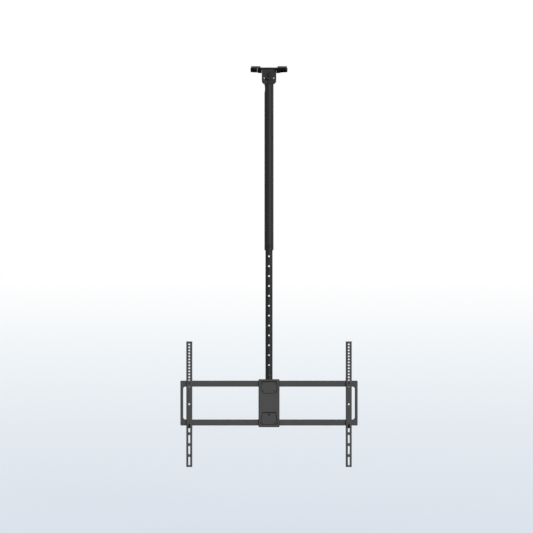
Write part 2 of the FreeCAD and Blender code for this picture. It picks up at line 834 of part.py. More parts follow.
def outer_tube():
    body = new_body("outer_tube")
    low = -cell("outer_bottom")
    high = cell("tongue_half") - cell("hinge_drop")
    section = sketch(body, "XY_Plane", low)
    annulus(section, cell("outer_radius"), outer_bore())
    pad(body, section, high - low)
    across = cell("outer_radius") + PAST
    mouth = sketch(body, "XZ_Plane", -across)
    mouth_outline(mouth)
    pocket(body, mouth, across * 2)
    holes = sketch(body, "XZ_Plane", -across)
    circle(holes, (0, -cell("hinge_drop")), cell("hinge_radius") + RUNNING_PLAY)
    circle(holes, (0, -cell("hinge_drop") - cell("slope_arc")), cell("lock_radius") + BOLT_HOLE_PLAY)
    pocket(body, holes, across * 2)
    window = sketch(body, "YZ_Plane", -across)
    middle = (Size.of(0), -cell("cable_slot_top") - cell("cable_slot_long") / 2)
    slot(window, middle, cell("cable_slot_long"), cell("cable_slot_wide"), True)
    pocket(body, window, across)
    keep("outer_tube", body)


def crush_sleeve(label, bolt_radius, play, level):
    """A sleeve round a cross bolt, so that tightening it can't squash the tube."""
    bore = cell(bolt_radius) + play
    outside = cell(bolt_radius) + cell("sleeve_wall")
    half = (outer_bore() * outer_bore() - outside * outside).root() - FIXED_FIT
    keep(label, tube(label, outside, bore, half * 2, (0, -half, level), "Y"))


def slope_lock_pieces():
    radius = cell("lock_radius")
    face = ear_outside() + cell("flat_fit")
    level = -cell("hinge_drop") - cell("slope_arc")
    length = face * 2 + cell("nut_eight") + THREAD_END
    start, place = (0, -face, level), (0, face, level)
    flats, head = cell("flats_eight"), cell("head_eight")
    keep("slope_lock_bolt", bolt("slope_lock_bolt", radius, flats, head, length, start, "Y"))
    keep("slope_lock_nut", nut("slope_lock_nut", radius, flats, cell("nut_eight"), place, "Y"))


def guide_bore():
    return cell("inner_radius") + cell("slide_fit")


def collar_low():
    return -cell("outer_bottom") - cell("collar_length")


def height_lock_level():
    return collar_low() + cell("height_lock_up")


def lock_collar():
    """A turned sleeve of the tube's own diameter, plugged into its lower end."""
    body = new_body("lock_collar")
    bore = guide_bore() + cell("slide_fit")
    outside = cell("outer_radius")
    spigot = outer_bore() - cell("spigot_fit")
    recess = guide_bore() + cell("bush_wall") + FIXED_FIT
    shoulder, bottom = -cell("outer_bottom"), collar_low()
    groove, chamfer = cell("collar_groove"), cell("collar_chamfer")
    profile = sketch(body, "XZ_Plane")
    polygon(
        profile,
        [
            (bore, shoulder + cell("spigot_length")),
            (bore, bottom + cell("bush_length")),
            (recess, bottom + cell("bush_length")),
            (recess, bottom),
            (outside - chamfer, bottom),
            (outside, bottom + chamfer),
            (outside, shoulder - groove),
            (outside - groove, shoulder),
            (spigot, shoulder),
            (spigot, shoulder + cell("spigot_length")),
        ],
    )
    revolve(body, profile)
    hole = sketch(body, "XZ_Plane", -outside - PAST)
    circle(hole, (0, height_lock_level()), cell("lock_radius") + BOLT_HOLE_PLAY)
    pocket(body, hole, (outside + PAST) * 2)
    keep("lock_collar", body)


def lower_bush():
    outside = guide_bore() + cell("bush_wall")
    place = (0, 0, collar_low())
    keep("lower_bush", tube("lower_bush", outside, guide_bore(), cell("bush_length"), place))


def height_lock_pieces():
    radius = cell("lock_radius")
    face = cell("outer_radius")
    level = height_lock_level()
    length = face * 2 + cell("nut_eight") + THREAD_END
    start, place = (0, -face, level), (0, face, level)
    flats, head = cell("flats_eight"), cell("head_eight")
    keep("height_lock_bolt", bolt("height_lock_bolt", radius, flats, head, length, start, "Y"))
    keep("height_lock_nut", nut("height_lock_nut", radius, flats, cell("nut_eight"), place, "Y"))


# Inner tube and its foot


def pivot_level():
    return -cell("frame_drop")


def cross_levels():
    return pivot_level() + cell("cross_bolt_up"), pivot_level() - cell("cross_bolt_down")


def inner_high():
    return cell("inner_inside") - cell("outer_bottom")


def inner_tube():
    body = new_body("inner_tube")
    low = pivot_level() - cell("inner_below")
    section = sketch(body, "XY_Plane", low)
    annulus(section, cell("inner_radius"), cell("inner_radius") - cell("tube_wall"))
    pad(body, section, inner_high() - low)
    across = cell("inner_radius") + PAST
    hole = sketch(body, "XZ_Plane", -across)
    circle(hole, (0, height_lock_level()), cell("hole_radius"))
    first = pocket(body, hole, across * 2)
    repeat_down(body, first, cell("hole_pitch"), cell("hole_count"))
    cross = sketch(body, "YZ_Plane", -across)
    for level in cross_levels():
        circle(cross, (0, level), cell("lock_radius") + BOLT_HOLE_PLAY)
    pocket(body, cross, across * 2)
    keep("inner_tube", body)


def upper_bush():
    outside = outer_bore() - cell("slide_fit")
    bore = cell("inner_radius") + FIXED_FIT
    length = cell("upper_bush_length")
    keep("upper_bush", tube("upper_bush", outside, bore, length, (0, 0, inner_high() - length)))


def foot_inside():
    return cell("inner_radius") + cell("flat_fit")


def foot_outside():
    return foot_inside() + cell("foot_sheet")


def foot_bracket():
    """A U round the tube's end whose ears reach forward to the tilt pivot."""
    body = new_body("foot_bracket")
    rear, level = foot_outside(), pivot_level()
    pivot = -cell("pivot_forward")
    nose, lobe = cell("foot_nose"), cell("foot_lobe")
    lock_level = level + cell("tilt_arc")
    top, bottom = level + cell("foot_top"), level - cell("foot_bottom")
    outline = [
        (rear, bottom),
        (rear, top),
        (pivot + lobe, top),
        (pivot - lobe / 2, lock_level + lobe),
        (pivot - lobe, lock_level),
        (pivot - nose, level),
        (pivot - nose / 2, level - nose),
        (pivot + nose * 2, level - nose * 3),
    ]
    for start in (foot_inside(), -rear):
        ear = sketch(body, "YZ_Plane", start)
        polygon(ear, outline)
        pad(body, ear, cell("foot_sheet"))
    web = sketch(body, "XZ_Plane", -rear)
    rectangle(web, (-rear, bottom), (rear, top))
    pad(body, web, cell("foot_sheet"))
    holes = sketch(body, "YZ_Plane", -rear - PAST)
    circle(holes, (pivot, level), cell("hinge_radius") + BOLT_HOLE_PLAY)
    circle(holes, (pivot, lock_level), cell("lock_radius") + BOLT_HOLE_PLAY)
    for cross in cross_levels():
        circle(holes, (0, cross), cell("lock_radius") + BOLT_HOLE_PLAY)
    pocket(body, holes, (rear + PAST) * 2)
    keep("foot_bracket", body)


def cross_bolts():
    radius, face = cell("lock_radius"), foot_outside()
    length = face * 2 + cell("nut_eight") + THREAD_END
    bolts, nuts = [], []
    for index, level in enumerate(cross_levels()):
        start, place = (-face, 0, level), (face, 0, level)
        name = f"cross_bolt_{index}"
        bolts.append(bolt(name, radius, cell("flats_eight"), cell("head_eight"), length, start, "X"))
        nuts.append(nut(f"cross_nut_{index}", radius, cell("flats_eight"), cell("nut_eight"), place, "X"))
    keep("cross_bolts", gathered("cross_bolts", *bolts))
    keep("cross_nuts", gathered("cross_nuts", *nuts))


def tilt_inside():
    return foot_outside() + cell("flat_fit")


def tilt_outside():
    return tilt_inside() + cell("foot_sheet")


def tilt_bolt(label, radius, flats, head, nut_height, above):
    """A bolt through both pairs of ears, its nut and the sleeve between the foot's ears."""
    face = tilt_outside() + cell("flat_fit")
    forward, level = -cell("pivot_forward"), pivot_level() + above
    length = face * 2 + nut_height + THREAD_END
    keep(label + "_bolt", bolt(label + "_bolt", radius, flats, head, length, (-face, forward, level), "X"))
    keep(label + "_nut", nut(label + "_nut", radius, flats, nut_height, (face, forward, level), "X"))
    half = foot_inside() - FIXED_FIT
    name = label + "_sleeve"
    place = (-half, forward, level)
    keep(name, tube(name, radius + cell("sleeve_wall"), radius + BOLT_HOLE_PLAY, half * 2, place, "X"))


def tilt_bolts():
    tilt_bolt("tilt_pivot", cell("hinge_radius"), cell("flats_ten"), cell("head_ten"), cell("nut_ten"), 0)
    flats, head = cell("flats_eight"), cell("head_eight")
    tilt_bolt("tilt_lock", cell("lock_radius"), flats, head, cell("nut_eight"), cell("tilt_arc"))


# Tilting frame


def tilt_bracket():
    """A U welded behind the back plate, with a bent slot in each ear."""
    body = new_body("tilt_bracket")
    front = cell("back_sheet") - cell("back_front")
    pivot, level = -cell("pivot_forward"), pivot_level()
    arc_radius, margin = cell("tilt_arc"), cell("tilt_margin")
    start, end = 90 - TILT_SLACK - cell("tilt_forward"), 90 + TILT_SLACK + cell("tilt_back")
    play = cell("lock_radius") + cell("lock_play")
    rear = pivot + arc_radius * start.cosine() + play + margin
    top = level + arc_radius + play + margin
    nose = cell("hinge_radius") + margin * 1.5
    outline = [
        (front, level - arc_radius),
        (pivot - nose / 2, level - nose - margin),
        (pivot + nose / 2, level - nose),
        (pivot + nose, level - nose / 2),
        (rear, level + arc_radius * start.sine() - play - margin),
        (rear, top - margin),
        (rear - margin, top),
        (front, top),
    ]
    for place in (tilt_inside(), -tilt_outside()):
        ear = sketch(body, "YZ_Plane", place)
        polygon(ear, outline)
        pad(body, ear, cell("foot_sheet"))
    web = sketch(body, "XZ_Plane", -(front + cell("foot_sheet")))
    half = tilt_outside()
    rectangle(web, (-half, level - arc_radius), (half, top))
    pad(body, web, cell("foot_sheet"))
    holes = sketch(body, "YZ_Plane", -half - PAST)
    circle(holes, (pivot, level), cell("hinge_radius") + RUNNING_PLAY)
    arc_slot(holes, (pivot, level), arc_radius, start, end, play)
    pocket(body, holes, (half + PAST) * 2)
    keep("tilt_bracket", body)


def screw_places():
    """Screws through pan and back plate: two in each rail and two between them."""
    middle = -cell("frame_drop")
    places = []
    for name in ("rail", "mid", "low"):
        level = middle + cell(f"screw_{name}_up")
        across = cell(f"screw_{name}_x")
        places += [(-across, level), (across, level)]
    return places


def rail_levels():
    half = cell("rail_pitch") / 2
    return half - cell("frame_drop"), -half - cell("frame_drop")


def back_plate():
    body = new_body("back_plate")
    half = cell("back_width") / 2
    reach = (cell("rail_pitch") + cell("rail_height")) / 2 - cell("frame_sheet")
    middle = -cell("frame_drop")
    outline = sketch(body, "XZ_Plane", cell("back_front") - cell("back_sheet"))
    rectangle(outline, (-half, middle - reach), (half, middle + reach))
    for place in screw_places():
        circle(outline, place, cell("screw_radius") + BOLT_HOLE_PLAY)
    pad(body, outline, cell("back_sheet"))
    corner = cell("back_corner")
    round_edges(body, corner, lambda e: runs_along(e, "y") and near(abs(e.Vertexes[0].Point.x), half))
    keep("back_plate", body)


def rail_front():
    return cell("back_front") + cell("rail_depth")


def rail(label, level):
    """A channel open to the back."""
    body = new_body(label)
    end = cell("frame_width") / 2 - cell("end_leg")
    half, sheet_t = cell("rail_height") / 2, cell("frame_sheet")
    front, rear = -rail_front(), -cell("back_front")
    section = sketch(body, "YZ_Plane", -end)
    polygon(
        section,
        [
            (front, level - half),
            (rear, level - half),
            (rear, level - half + sheet_t),
            (front + sheet_t, level - half + sheet_t),
            (front + sheet_t, level + half - sheet_t),
            (rear, level + half - sheet_t),
            (rear, level + half),
            (front, level + half),
        ],
    )
    pad(body, section, end * 2)
    bends = ((cell("bend"), front), (cell("bend") - sheet_t, front + sheet_t))
    for radius, at in bends:
        round_edges(body, radius, lambda e: runs_along(e, "x") and near(e.Vertexes[0].Point.y, at))
    holes = sketch(body, "XZ_Plane", -front - sheet_t - PAST)
    for place in screw_places():
        if abs((place[1] - level).number) < half.number:
            circle(holes, place, cell("screw_radius") + BOLT_HOLE_PLAY)
    pocket(body, holes, sheet_t + PAST * 2)
    keep(label, body)


def end_plate(label, side):
    """The frame's end: two short legs and a strip, pressed as a channel round a rounded opening."""
    body = new_body(label)
    end = cell("frame_width") / 2
    start = end - cell("end_leg")
    strip = end - cell("end_strip")
    middle = -cell("frame_drop")
    outer = (cell("rail_pitch") + cell("rail_height")) / 2
    inner = outer - cell("rail_height")
    sheet_t = cell("frame_sheet")
    outline = sketch(body, "XZ_Plane", cell("back_front"))
    polygon(
        outline,
        [
            (side * start, middle + outer),
            (side * end, middle + outer),
            (side * end, middle - outer),
            (side * start, middle - outer),
            (side * start, middle - inner),
            (side * strip, middle - inner),
            (side * strip, middle + inner),
            (side * start, middle + inner),
        ],
    )
    pad(body, outline, cell("rail_depth"))
    for radius, at in ((cell("end_corner"), side * strip), (cell("end_outer_corner"), side * end)):
        round_edges(body, radius, lambda e: runs_along(e, "y") and near(e.Vertexes[0].Point.x, at))

    def front_rim(edge):
        box = edge.BoundBox
        flat_front = near(box.YMin, -rail_front()) and near(box.YMax, -rail_front())
        return flat_front and not near(abs(box.XMin + box.XMax) / 2, start)

    round_edges(body, cell("bend"), front_rim)
    channel = sketch(body, "XZ_Plane", cell("back_front") - PAST)
    polygon(
        channel,
        [
            (side * (start - PAST), middle + outer - sheet_t),
            (side * (end - sheet_t), middle + outer - sheet_t),
            (side * (end - sheet_t), middle - outer + sheet_t),
            (side * (start - PAST), middle - outer + sheet_t),
            (side * (start - PAST), middle - inner - sheet_t),
            (side * (strip + sheet_t), middle - inner - sheet_t),
            (side * (strip + sheet_t), middle + inner + sheet_t),
            (side * (start - PAST), middle + inner + sheet_t),
        ],
    )
    pocket(body, channel, cell("rail_depth") - sheet_t + PAST)
    keep(label, body)


def recess_outlines():
    middle = -cell("frame_drop")
    upper_half = cell("upper_recess_half")
    upper_top, upper_foot = middle + cell("upper_recess_top"), middle + cell("upper_recess_foot")
    lower_top, lower_foot = middle - cell("lower_recess_top"), middle - cell("lower_recess_foot")
    head, foot = cell("lower_recess_head_half"), cell("lower_recess_foot_half")
    return (
        (upper_half, upper_half, upper_top, upper_foot),
        (head, foot, lower_top, lower_foot),
    )


def trapezoid(item, shape, grow):
    head, foot, top, bottom = shape
    head, foot, top, bottom = head + grow, foot + grow, top + grow, bottom - grow
    polygon(item, [(-foot, bottom), (foot, bottom), (head, top), (-head, top)])


def centre_pan():
    """A shallow pressed tray whose two recesses sit on the rails and take the screws."""
    body = new_body("centre_pan")
    half, tall = cell("pan_width") / 2, cell("pan_height") / 2
    middle = -cell("frame_drop")
    sheet_t, depth = cell("frame_sheet"), cell("recess_depth")
    seat = rail_front()
    face = seat + sheet_t + depth
    rear = seat + cell("flat_fit")
    outline = sketch(body, "XZ_Plane", rear)
    rectangle(outline, (-half, middle - tall), (half, middle + tall))
    pad(body, outline, face - rear)
    corner_x, face_y = half.number, -face.number
    corner = cell("pan_corner")
    round_edges(body, corner, lambda e: runs_along(e, "y") and near(abs(e.Vertexes[0].Point.x), corner_x))

    def front_rim(edge):
        box = edge.BoundBox
        return near(box.YMin, face_y) and near(box.YMax, face_y)

    round_edges(body, cell("bend"), front_rim)
    hollow = sketch(body, "XZ_Plane", rear - PAST)
    inset_x, inset_z = half - sheet_t, tall - sheet_t
    rectangle(hollow, (-inset_x, middle - inset_z), (inset_x, middle + inset_z))
    pocket(body, hollow, face - sheet_t - rear + PAST)
    shapes = recess_outlines()
    backs = sketch(body, "XZ_Plane", seat)
    for shape in shapes:
        trapezoid(backs, shape, sheet_t * math.tan(math.radians(HALF_FOLD)))
    pad(body, backs, face - seat - sheet_t / 2, DRAFT)
    dips = sketch(body, "XZ_Plane", seat + sheet_t)
    for shape in shapes:
        trapezoid(dips, shape, 0)
    pocket(body, dips, depth + PAST)
    foot = (middle + cell("upper_recess_foot")).number
    inner_x = (half - cell("bend") - PAST).number
    inner_z = (tall - cell("bend") - PAST).number

    def recess_corner(edge):
        across = abs(edge.Vertexes[0].Point.x) < inner_x and near(edge.BoundBox.YMin, face_y)
        return runs_along(edge, "y") and across

    def recess_foot(edge):
        return recess_corner(edge) and near(edge.Vertexes[0].Point.z, foot)

    def recess_rim(edge):
        box = edge.BoundBox
        low, high = box.ZMin - middle.number, box.ZMax - middle.number
        inside = max(-box.XMin, box.XMax) < inner_x and max(-low, high) < inner_z
        return near(box.YMin, face_y) and near(box.YMax, face_y) and inside

    round_edges(body, cell("recess_foot_corner"), recess_foot)
    round_edges(body, cell("recess_corner"), recess_corner)
    slope_edges(body, depth - cell("recess_step"), recess_rim)
    holes = sketch(body, "XZ_Plane", seat - PAST)
    for place in screw_places():
        circle(holes, place, cell("screw_radius") + BOLT_HOLE_PLAY)
    key_slot = (Size.of(0), middle - cell("key_slot_down"))
    slot(holes, key_slot, cell("key_slot_long"), cell("key_slot_wide"), False)
    pocket(body, holes, sheet_t + PAST * 2)
    keep("centre_pan", body)


def pan_screws():
    """Round-headed screws from the recesses to the back plate, with spacers and nuts."""
    radius = cell("screw_radius")
    seat = rail_front()
    head_face = -(seat + cell("frame_sheet"))
    plate_rear = cell("back_sheet") - cell("back_front")
    levels = [level.number for level in rail_levels()]
    half_rail = (cell("rail_height") / 2).number
    screws, nuts, spacers = [], [], []
    for index, (across, level) in enumerate(screw_places()):
        length = plate_rear + cell("nut_six") + THREAD_END - head_face
        shank = cylinder(f"pan_screw_shank_{index}", radius, length, (across, head_face, level), "Y")
        tall = cell("screw_head")
        head_place = (across, head_face - tall, level)
        head = cylinder(f"pan_screw_head_{index}", cell("screw_head_radius"), tall, head_place, "Y")
        screws.append(joined(f"pan_screw_{index}", head, shank))
        nut_place = (across, plate_rear, level)
        nuts.append(nut(f"pan_nut_{index}", radius, cell("flats_six"), cell("nut_six"), nut_place, "Y"))
        in_rail = any(abs(level.number - other) < half_rail for other in levels)
        start = cell("frame_sheet") - seat if in_rail else -seat
        run = -cell("back_front") - start
        outside = radius + cell("sleeve_wall")
        name = f"pan_spacer_{index}"
        spacers.append(tube(name, outside, radius + BOLT_HOLE_PLAY, run, (across, start, level), "Y"))
    keep("pan_screws", gathered("pan_screws", *screws))
    keep("pan_nuts", gathered("pan_nuts", *nuts))
    keep("pan_spacers", gathered("pan_spacers", *spacers))


# Arms


def arm_flange_outline():
    """One side of an arm: hooked over the top rail, notched for both, with a lug below."""
    front, back = -cell("arm_front"), cell("arm_flange") - cell("arm_front")
    fit = cell("hook_fit")
    notch = -rail_front() - fit
    behind = -cell("back_front") + fit
    tip = behind + cell("hook_back")
    half_rail = cell("rail_height") / 2
    top_rail, bottom_rail = rail_levels()
    over = top_rail + half_rail + fit
    below = bottom_rail - half_rail - fit
    middle = -cell("frame_drop") - cell("arm_below")
    top, bottom = middle + cell("arm_length") / 2, middle - cell("arm_length") / 2
    rise = cell("hook_rise")
    return [
        (front, bottom),
        (back, bottom),
        (back, below - rise * 2),
        (behind + fit, below - rise),
        (behind + fit, below),
        (notch, below),
        (notch, bottom_rail + half_rail + fit),
        (back, bottom_rail + half_rail + fit * 2),
        (back, top_rail - half_rail - fit * 2),
        (notch, top_rail - half_rail - fit),
        (notch, over),
        (behind, over),
        (behind, over - cell("hook_drop")),
        (tip, over - cell("hook_drop")),
        (tip, over + rise - cell("hook_back")),
        (tip - cell("hook_back"), over + rise),
        (back, over + rise * 2),
        (back, top),
        (front, top),
    ]


def arm(label, side):
    """A channel for the screen: holes above, slots below, hooks and lugs formed in its sides."""
    body = new_body(label)
    centre = side * cell("arm_spacing") / 2
    half, sheet_t = cell("arm_width") / 2, cell("arm_sheet")
    outline = arm_flange_outline()
    for start in (centre - half, centre + half - sheet_t):
        flange = sketch(body, "YZ_Plane", start)
        polygon(flange, outline)
        pad(body, flange, sheet_t)
    front = cell("arm_front")
    middle = -cell("frame_drop") - cell("arm_below")
    reach = cell("arm_length") / 2
    web = sketch(body, "XZ_Plane", front - sheet_t)
    rectangle(web, (centre - half, middle - reach), (centre + half, middle + reach))
    pad(body, web, sheet_t)
    bend = cell("bend")
    round_edges(body, bend, lambda e: runs_along(e, "z") and near(e.Vertexes[0].Point.y, -front))
    single = sketch(body, "XZ_Plane", front - sheet_t - PAST)
    circle(single, (centre, middle), cell("arm_hole_radius"))
    through = sheet_t + PAST * 2
    pocket(body, single, through)
    row = sketch(body, "XZ_Plane", front - sheet_t - PAST)
    highest = middle + reach - cell("arm_hole_end")
    circle(row, (centre, highest), cell("arm_hole_radius"))
    first = pocket(body, row, through)
    repeat_down(body, first, cell("arm_hole_pitch"), cell("arm_hole_count"))
    long_row = sketch(body, "XZ_Plane", front - sheet_t - PAST)
    slots_up = cell("arm_slot_end") + cell("arm_slot_pitch") * (cell("arm_slot_count") - 1)
    place = (centre, middle - reach + slots_up)
    slot(long_row, place, cell("arm_slot_length"), cell("arm_slot_width"), True)
    first = pocket(body, long_row, through)
    repeat_down(body, first, cell("arm_slot_pitch"), cell("arm_slot_count"))
    keep(label, body)


def arm_lock(end, side):
    """The tab under the bottom rail that stops the arm lifting off, and its thumb screw."""
    label = "lock_tab_" + end
    body = new_body(label)
    centre = side * cell("arm_spacing") / 2
    half = cell("arm_width") / 2 - cell("arm_sheet")
    rail_under = rail_levels()[1] - cell("rail_height") / 2
    top = rail_under - cell("tab_drop")
    sheet_t = cell("tab_sheet")
    front = cell("arm_sheet") - cell("arm_front")
    rear = -cell("back_front") + cell("tab_behind")
    section = sketch(body, "YZ_Plane", centre - half)
    polygon(
        section,
        [
            (front, top - sheet_t),
            (rear, top - sheet_t),
            (rear, rail_under + cell("tab_lip")),
            (rear - sheet_t, rail_under + cell("tab_lip")),
            (rear - sheet_t, top),
            (front, top),
        ],
    )
    pad(body, section, half * 2)
    radius = cell("lock_screw_radius")
    screw_y = -(rail_front() + cell("back_front")) / 2
    hole = sketch(body, "XY_Plane", top - sheet_t - PAST)
    circle(hole, (centre, screw_y), radius + THREAD_PLAY)
    pocket(body, hole, sheet_t + PAST * 2)
    keep(label, body)
    name = "thumb_screw_" + end
    tall = cell("knob_length")
    base = top - sheet_t - tall
    place = (centre, screw_y, base)
    knob = cylinder(name + "_knob", cell("knob_radius"), tall, place)
    shank = cylinder(name + "_shank", radius, rail_under - cell("flat_fit") - base, place)
    keep(name, joined(name, knob, shank))


def build():
    ceiling_plate()
    end_cover("end_cover_right", 0)
    end_cover("end_cover_left", 180)
    swivel_pieces()
    swivel_disc()
    yoke()
    hinge_pieces()
    outer_tube()
    hinge_level = -cell("hinge_drop")
    crush_sleeve("hinge_sleeve", "hinge_radius", RUNNING_PLAY, hinge_level)
    crush_sleeve("slope_lock_sleeve", "lock_radius", BOLT_HOLE_PLAY, hinge_level - cell("slope_arc"))
    slope_lock_pieces()
    lock_collar()
    lower_bush()
    height_lock_pieces()
    inner_tube()
    upper_bush()
    foot_bracket()
    cross_bolts()
    tilt_bolts()
    tilt_bracket()
    back_plate()
    for label, level in zip(("top_rail", "bottom_rail"), rail_levels()):
        rail(label, level)
    centre_pan()
    pan_screws()
    for end, side in (("left", -1), ("right", 1)):
        end_plate("end_plate_" + end, side)
        arm("arm_" + end, side)
        arm_lock(end, side)


def check_document():
    """Stops at any object that failed, and at any cut that took nothing away."""
    doc.recompute()
    for item in doc.Objects:
        if "Invalid" in item.State or "Error" in item.State:
            raise RuntimeError(f"{item.Name} failed: {item.State}")
        if item.TypeId == "PartDesign::Pocket":
            base = item.BaseFeature
            if item.Shape.Volume >= base.Shape.Volume:
                raise RuntimeError(item.Name + " cuts nothing")
    for item in pieces:
        if item.Shape.isNull() or not item.Shape.isValid() or not item.Shape.Solids:
            raise RuntimeError(item.Label + " has no valid solid")


build()
check_document()
os.makedirs("parts", exist_ok=True)
for item in pieces:
    item.Shape.exportStep(f"parts/{item.Label}.step")
print(len(pieces), "pieces")
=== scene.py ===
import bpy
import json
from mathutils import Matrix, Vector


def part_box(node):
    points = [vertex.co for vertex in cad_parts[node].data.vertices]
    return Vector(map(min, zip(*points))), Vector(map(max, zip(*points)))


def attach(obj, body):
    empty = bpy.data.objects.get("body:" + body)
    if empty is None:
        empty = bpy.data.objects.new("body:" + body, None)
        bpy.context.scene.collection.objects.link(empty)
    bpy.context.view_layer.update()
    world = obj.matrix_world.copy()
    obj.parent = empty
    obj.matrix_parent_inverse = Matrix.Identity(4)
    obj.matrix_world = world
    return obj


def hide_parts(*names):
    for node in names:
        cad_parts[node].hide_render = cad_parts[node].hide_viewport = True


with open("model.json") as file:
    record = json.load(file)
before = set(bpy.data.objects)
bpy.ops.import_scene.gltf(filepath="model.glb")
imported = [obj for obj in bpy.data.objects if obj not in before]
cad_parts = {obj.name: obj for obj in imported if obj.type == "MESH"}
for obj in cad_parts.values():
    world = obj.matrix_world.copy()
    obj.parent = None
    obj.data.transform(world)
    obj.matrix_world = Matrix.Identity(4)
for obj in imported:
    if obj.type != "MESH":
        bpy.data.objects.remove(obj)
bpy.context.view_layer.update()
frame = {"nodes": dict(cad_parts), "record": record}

import json
import math

import bmesh
import bpy
from bmesh.types import BMEdge, BMFace, BMVert
from bpy.props import FloatProperty, FloatVectorProperty, IntProperty, PointerProperty
from mathutils import Matrix, Vector

bl_info = {
    "name": "Ceiling Mount for a Screen",
    "version": (1, 0, 0),
    "blender": (4, 5, 0),
    "location": "3D View > Sidebar > Mount",
    "description": "Finishes, fasteners and welds for a telescopic ceiling mount",
    "category": "Object",
}

NODES = frame["nodes"]
BODY_OF = {}
for body_name, members in frame["record"]["behaviour"]["bodies"].items():
    for member in members:
        BODY_OF[member] = body_name
SLOT_OF = {item["node"]: item["material_slot"] for item in frame["record"]["subparts"]}
# The sheet metal pieces, whose cut edges are rounded
SHEET_NODES = (
    "ceiling_plate", "yoke", "foot_bracket", "tilt_bracket", "back_plate", "top_rail", "bottom_rail",
    "arm_left", "arm_right", "lock_tab_left", "lock_tab_right",
)

# Sizes of the frame's own pieces, in metres. A pair is where a soft change starts and ends.
THREAD_RADII = {"ten": 0.005, "eight": 0.004, "six": 0.003, "five": 0.0025}
KNOB_PITCH = 0.0008
WASHER_BORE = 0.0051
PAN_SCREW_HEAD = 0.0026
PAN_SCREW_THREAD = 0.008
KNOB_HEIGHT = 0.008
KNOB_THREAD = 0.005
# The inner tube: its height holes, the rubbed ring round each, and how much of the tube
# under the lock bolt has run through the guide
HOLE_PITCH = 0.05
HOLE_RIM = (0.0047, 0.0053)
GUIDED_RUN = 0.62
# The ceiling plate's steps, out from its middle, with painted shade inside them, and the
# yoke's fold, down from its top, with painted light on its outside
PLATE_STEP = (0.038, 0.045)
YOKE_FOLD = (0.0044, 0.0014)
# The pan's recesses: their depth, and their upper edges under its top and over its foot,
# with the strip of painted shadow that reaches from below such an edge to above it
RECESS_DEPTH = 0.004
RECESS_UNDER_TOP = 0.013
RECESS_OVER_FOOT = 0.0725
SHADOW_STRIP_BELOW = 0.0009
SHADOW_STRIP_ABOVE = 0.0002
# The covers' rounded lower edges, and their underside at the rib, over their lowest point
COVER_EDGE = 0.003
COVER_FOOT_AT_RIB = 0.003
# Half of a weld bead on the swivel disc, and the space between a bead's rings
DISC_WELD_HALF = 0.0085
BEAD_RING = 0.0007

# Roughness, grain and gloss of the two powder coats
FRAME_SKIN = (0.6, 900.0, 0.08)
HEAD_SKIN = (0.55, 950.0, 0.1)

# Points nearer than this are one, in metres
MERGED = 1e-6

# The floor's share of diffuse paint, and its tones at 12 / (11.5 + distance), which is about
# 1 under the mount and 0 at the horizon
FLOOR_RADIUS = 260
FLOOR_SHARE = 0.35
FLOOR_FALL = (12.0, 11.5)
FLOOR_TONES = (
    (0.05, (255, 255, 255)),
    (0.3, (241, 245, 248)),
    (0.6, (228, 234, 240)),
    (1.0, (218, 225, 235)),
)


# Sizes and colours that a user would change


def measure(name, description, default, precision=4):
    """A property for a length."""
    return FloatProperty(
        name=name, description=description, default=default, unit="LENGTH", subtype="DISTANCE",
        precision=precision)


def tint(name, description, default):
    """A property for a colour."""
    return FloatVectorProperty(
        name=name, description=description, default=default, size=3, min=0, max=1, subtype="COLOR")


class MountSizes(bpy.types.PropertyGroup):
    """Sizes of the small parts."""

    ten_flats: measure("10 mm flats", "Across the flats of 10 mm bolts and nuts", 0.017)
    ten_head: measure("10 mm head", "Height of a 10 mm bolt's head", 0.0064)
    ten_pitch: measure("10 mm pitch", "Thread pitch of the 10 mm bolts", 0.0015, 5)
    eight_flats: measure("8 mm flats", "Across the flats of 8 mm bolts and nuts", 0.013)
    eight_head: measure("8 mm head", "Height of an 8 mm bolt's head", 0.0053)
    eight_pitch: measure("8 mm pitch", "Thread pitch of the 8 mm bolts", 0.00125, 5)
    six_flats: measure("6 mm flats", "Across the flats of 6 mm nuts", 0.010)
    six_pitch: measure("6 mm pitch", "Thread pitch of the 6 mm screws", 0.001, 5)
    key_width: measure("Hex key", "Width of the pan screws' hexagon sockets", 0.004)
    thread_shown: measure("Thread past nut", "Thread that stands out of a nut", 0.0015)
    knob_grooves: IntProperty(
        name="Knob grooves", description="Grooves round a thumb screw's knob", default=20, min=6, max=60)
    rib_width: measure("Rib width", "Width of the covers' moulded rib", 0.0042)
    rib_place: measure("Rib place", "Distance of the covers' rib from the column's axis", 0.0589)
    edge_softness: measure("Edge softness", "Rounding of the sheet metal's cut edges", 0.0004, 5)
    weld_width: measure("Weld bead", "Width of the weld beads", 0.0034)


class MountColours(bpy.types.PropertyGroup):
    """Colours of the finishes."""

    frame_coat: tint("Frame coat", "Powder coat of frame, pan and arms", (0.069, 0.069, 0.068))
    head_coat: tint("Head coat", "Powder coat of yoke and brackets", (0.030, 0.030, 0.030))
    plate_coat: tint("Plate coat", "Powder coat of the ceiling plate", (0.060, 0.060, 0.060))
    tube_coat: tint("Tube coat", "Coat of the outer tube and its collar", (0.024, 0.024, 0.024))
    inner_coat: tint("Inner tube coat", "Coat of the inner tube", (0.022, 0.022, 0.022))
    cover_plastic: tint("Cover plastic", "Glossy plastic of the end covers", (0.003, 0.003, 0.003))
    bolt_black: tint("Bolt black", "Blackened bolts and nuts", (0.014, 0.014, 0.0145))
    screw_coat: tint("Screw coat", "Coated screws of the centre pan", (0.050, 0.050, 0.050))
    # The ribs' light grey is a painted highlight on the black plastic
    rib_painted_highlight: tint("Rib black", "Worn polish of the covers' ribs", (0.120, 0.120, 0.120))
    zinc_grey: tint("Zinc", "Zinc plated sleeves, spacers and nuts", (0.52, 0.52, 0.50))
    nylon_black: tint("Nylon", "Nylon washers and bushes", (0.020, 0.020, 0.021))


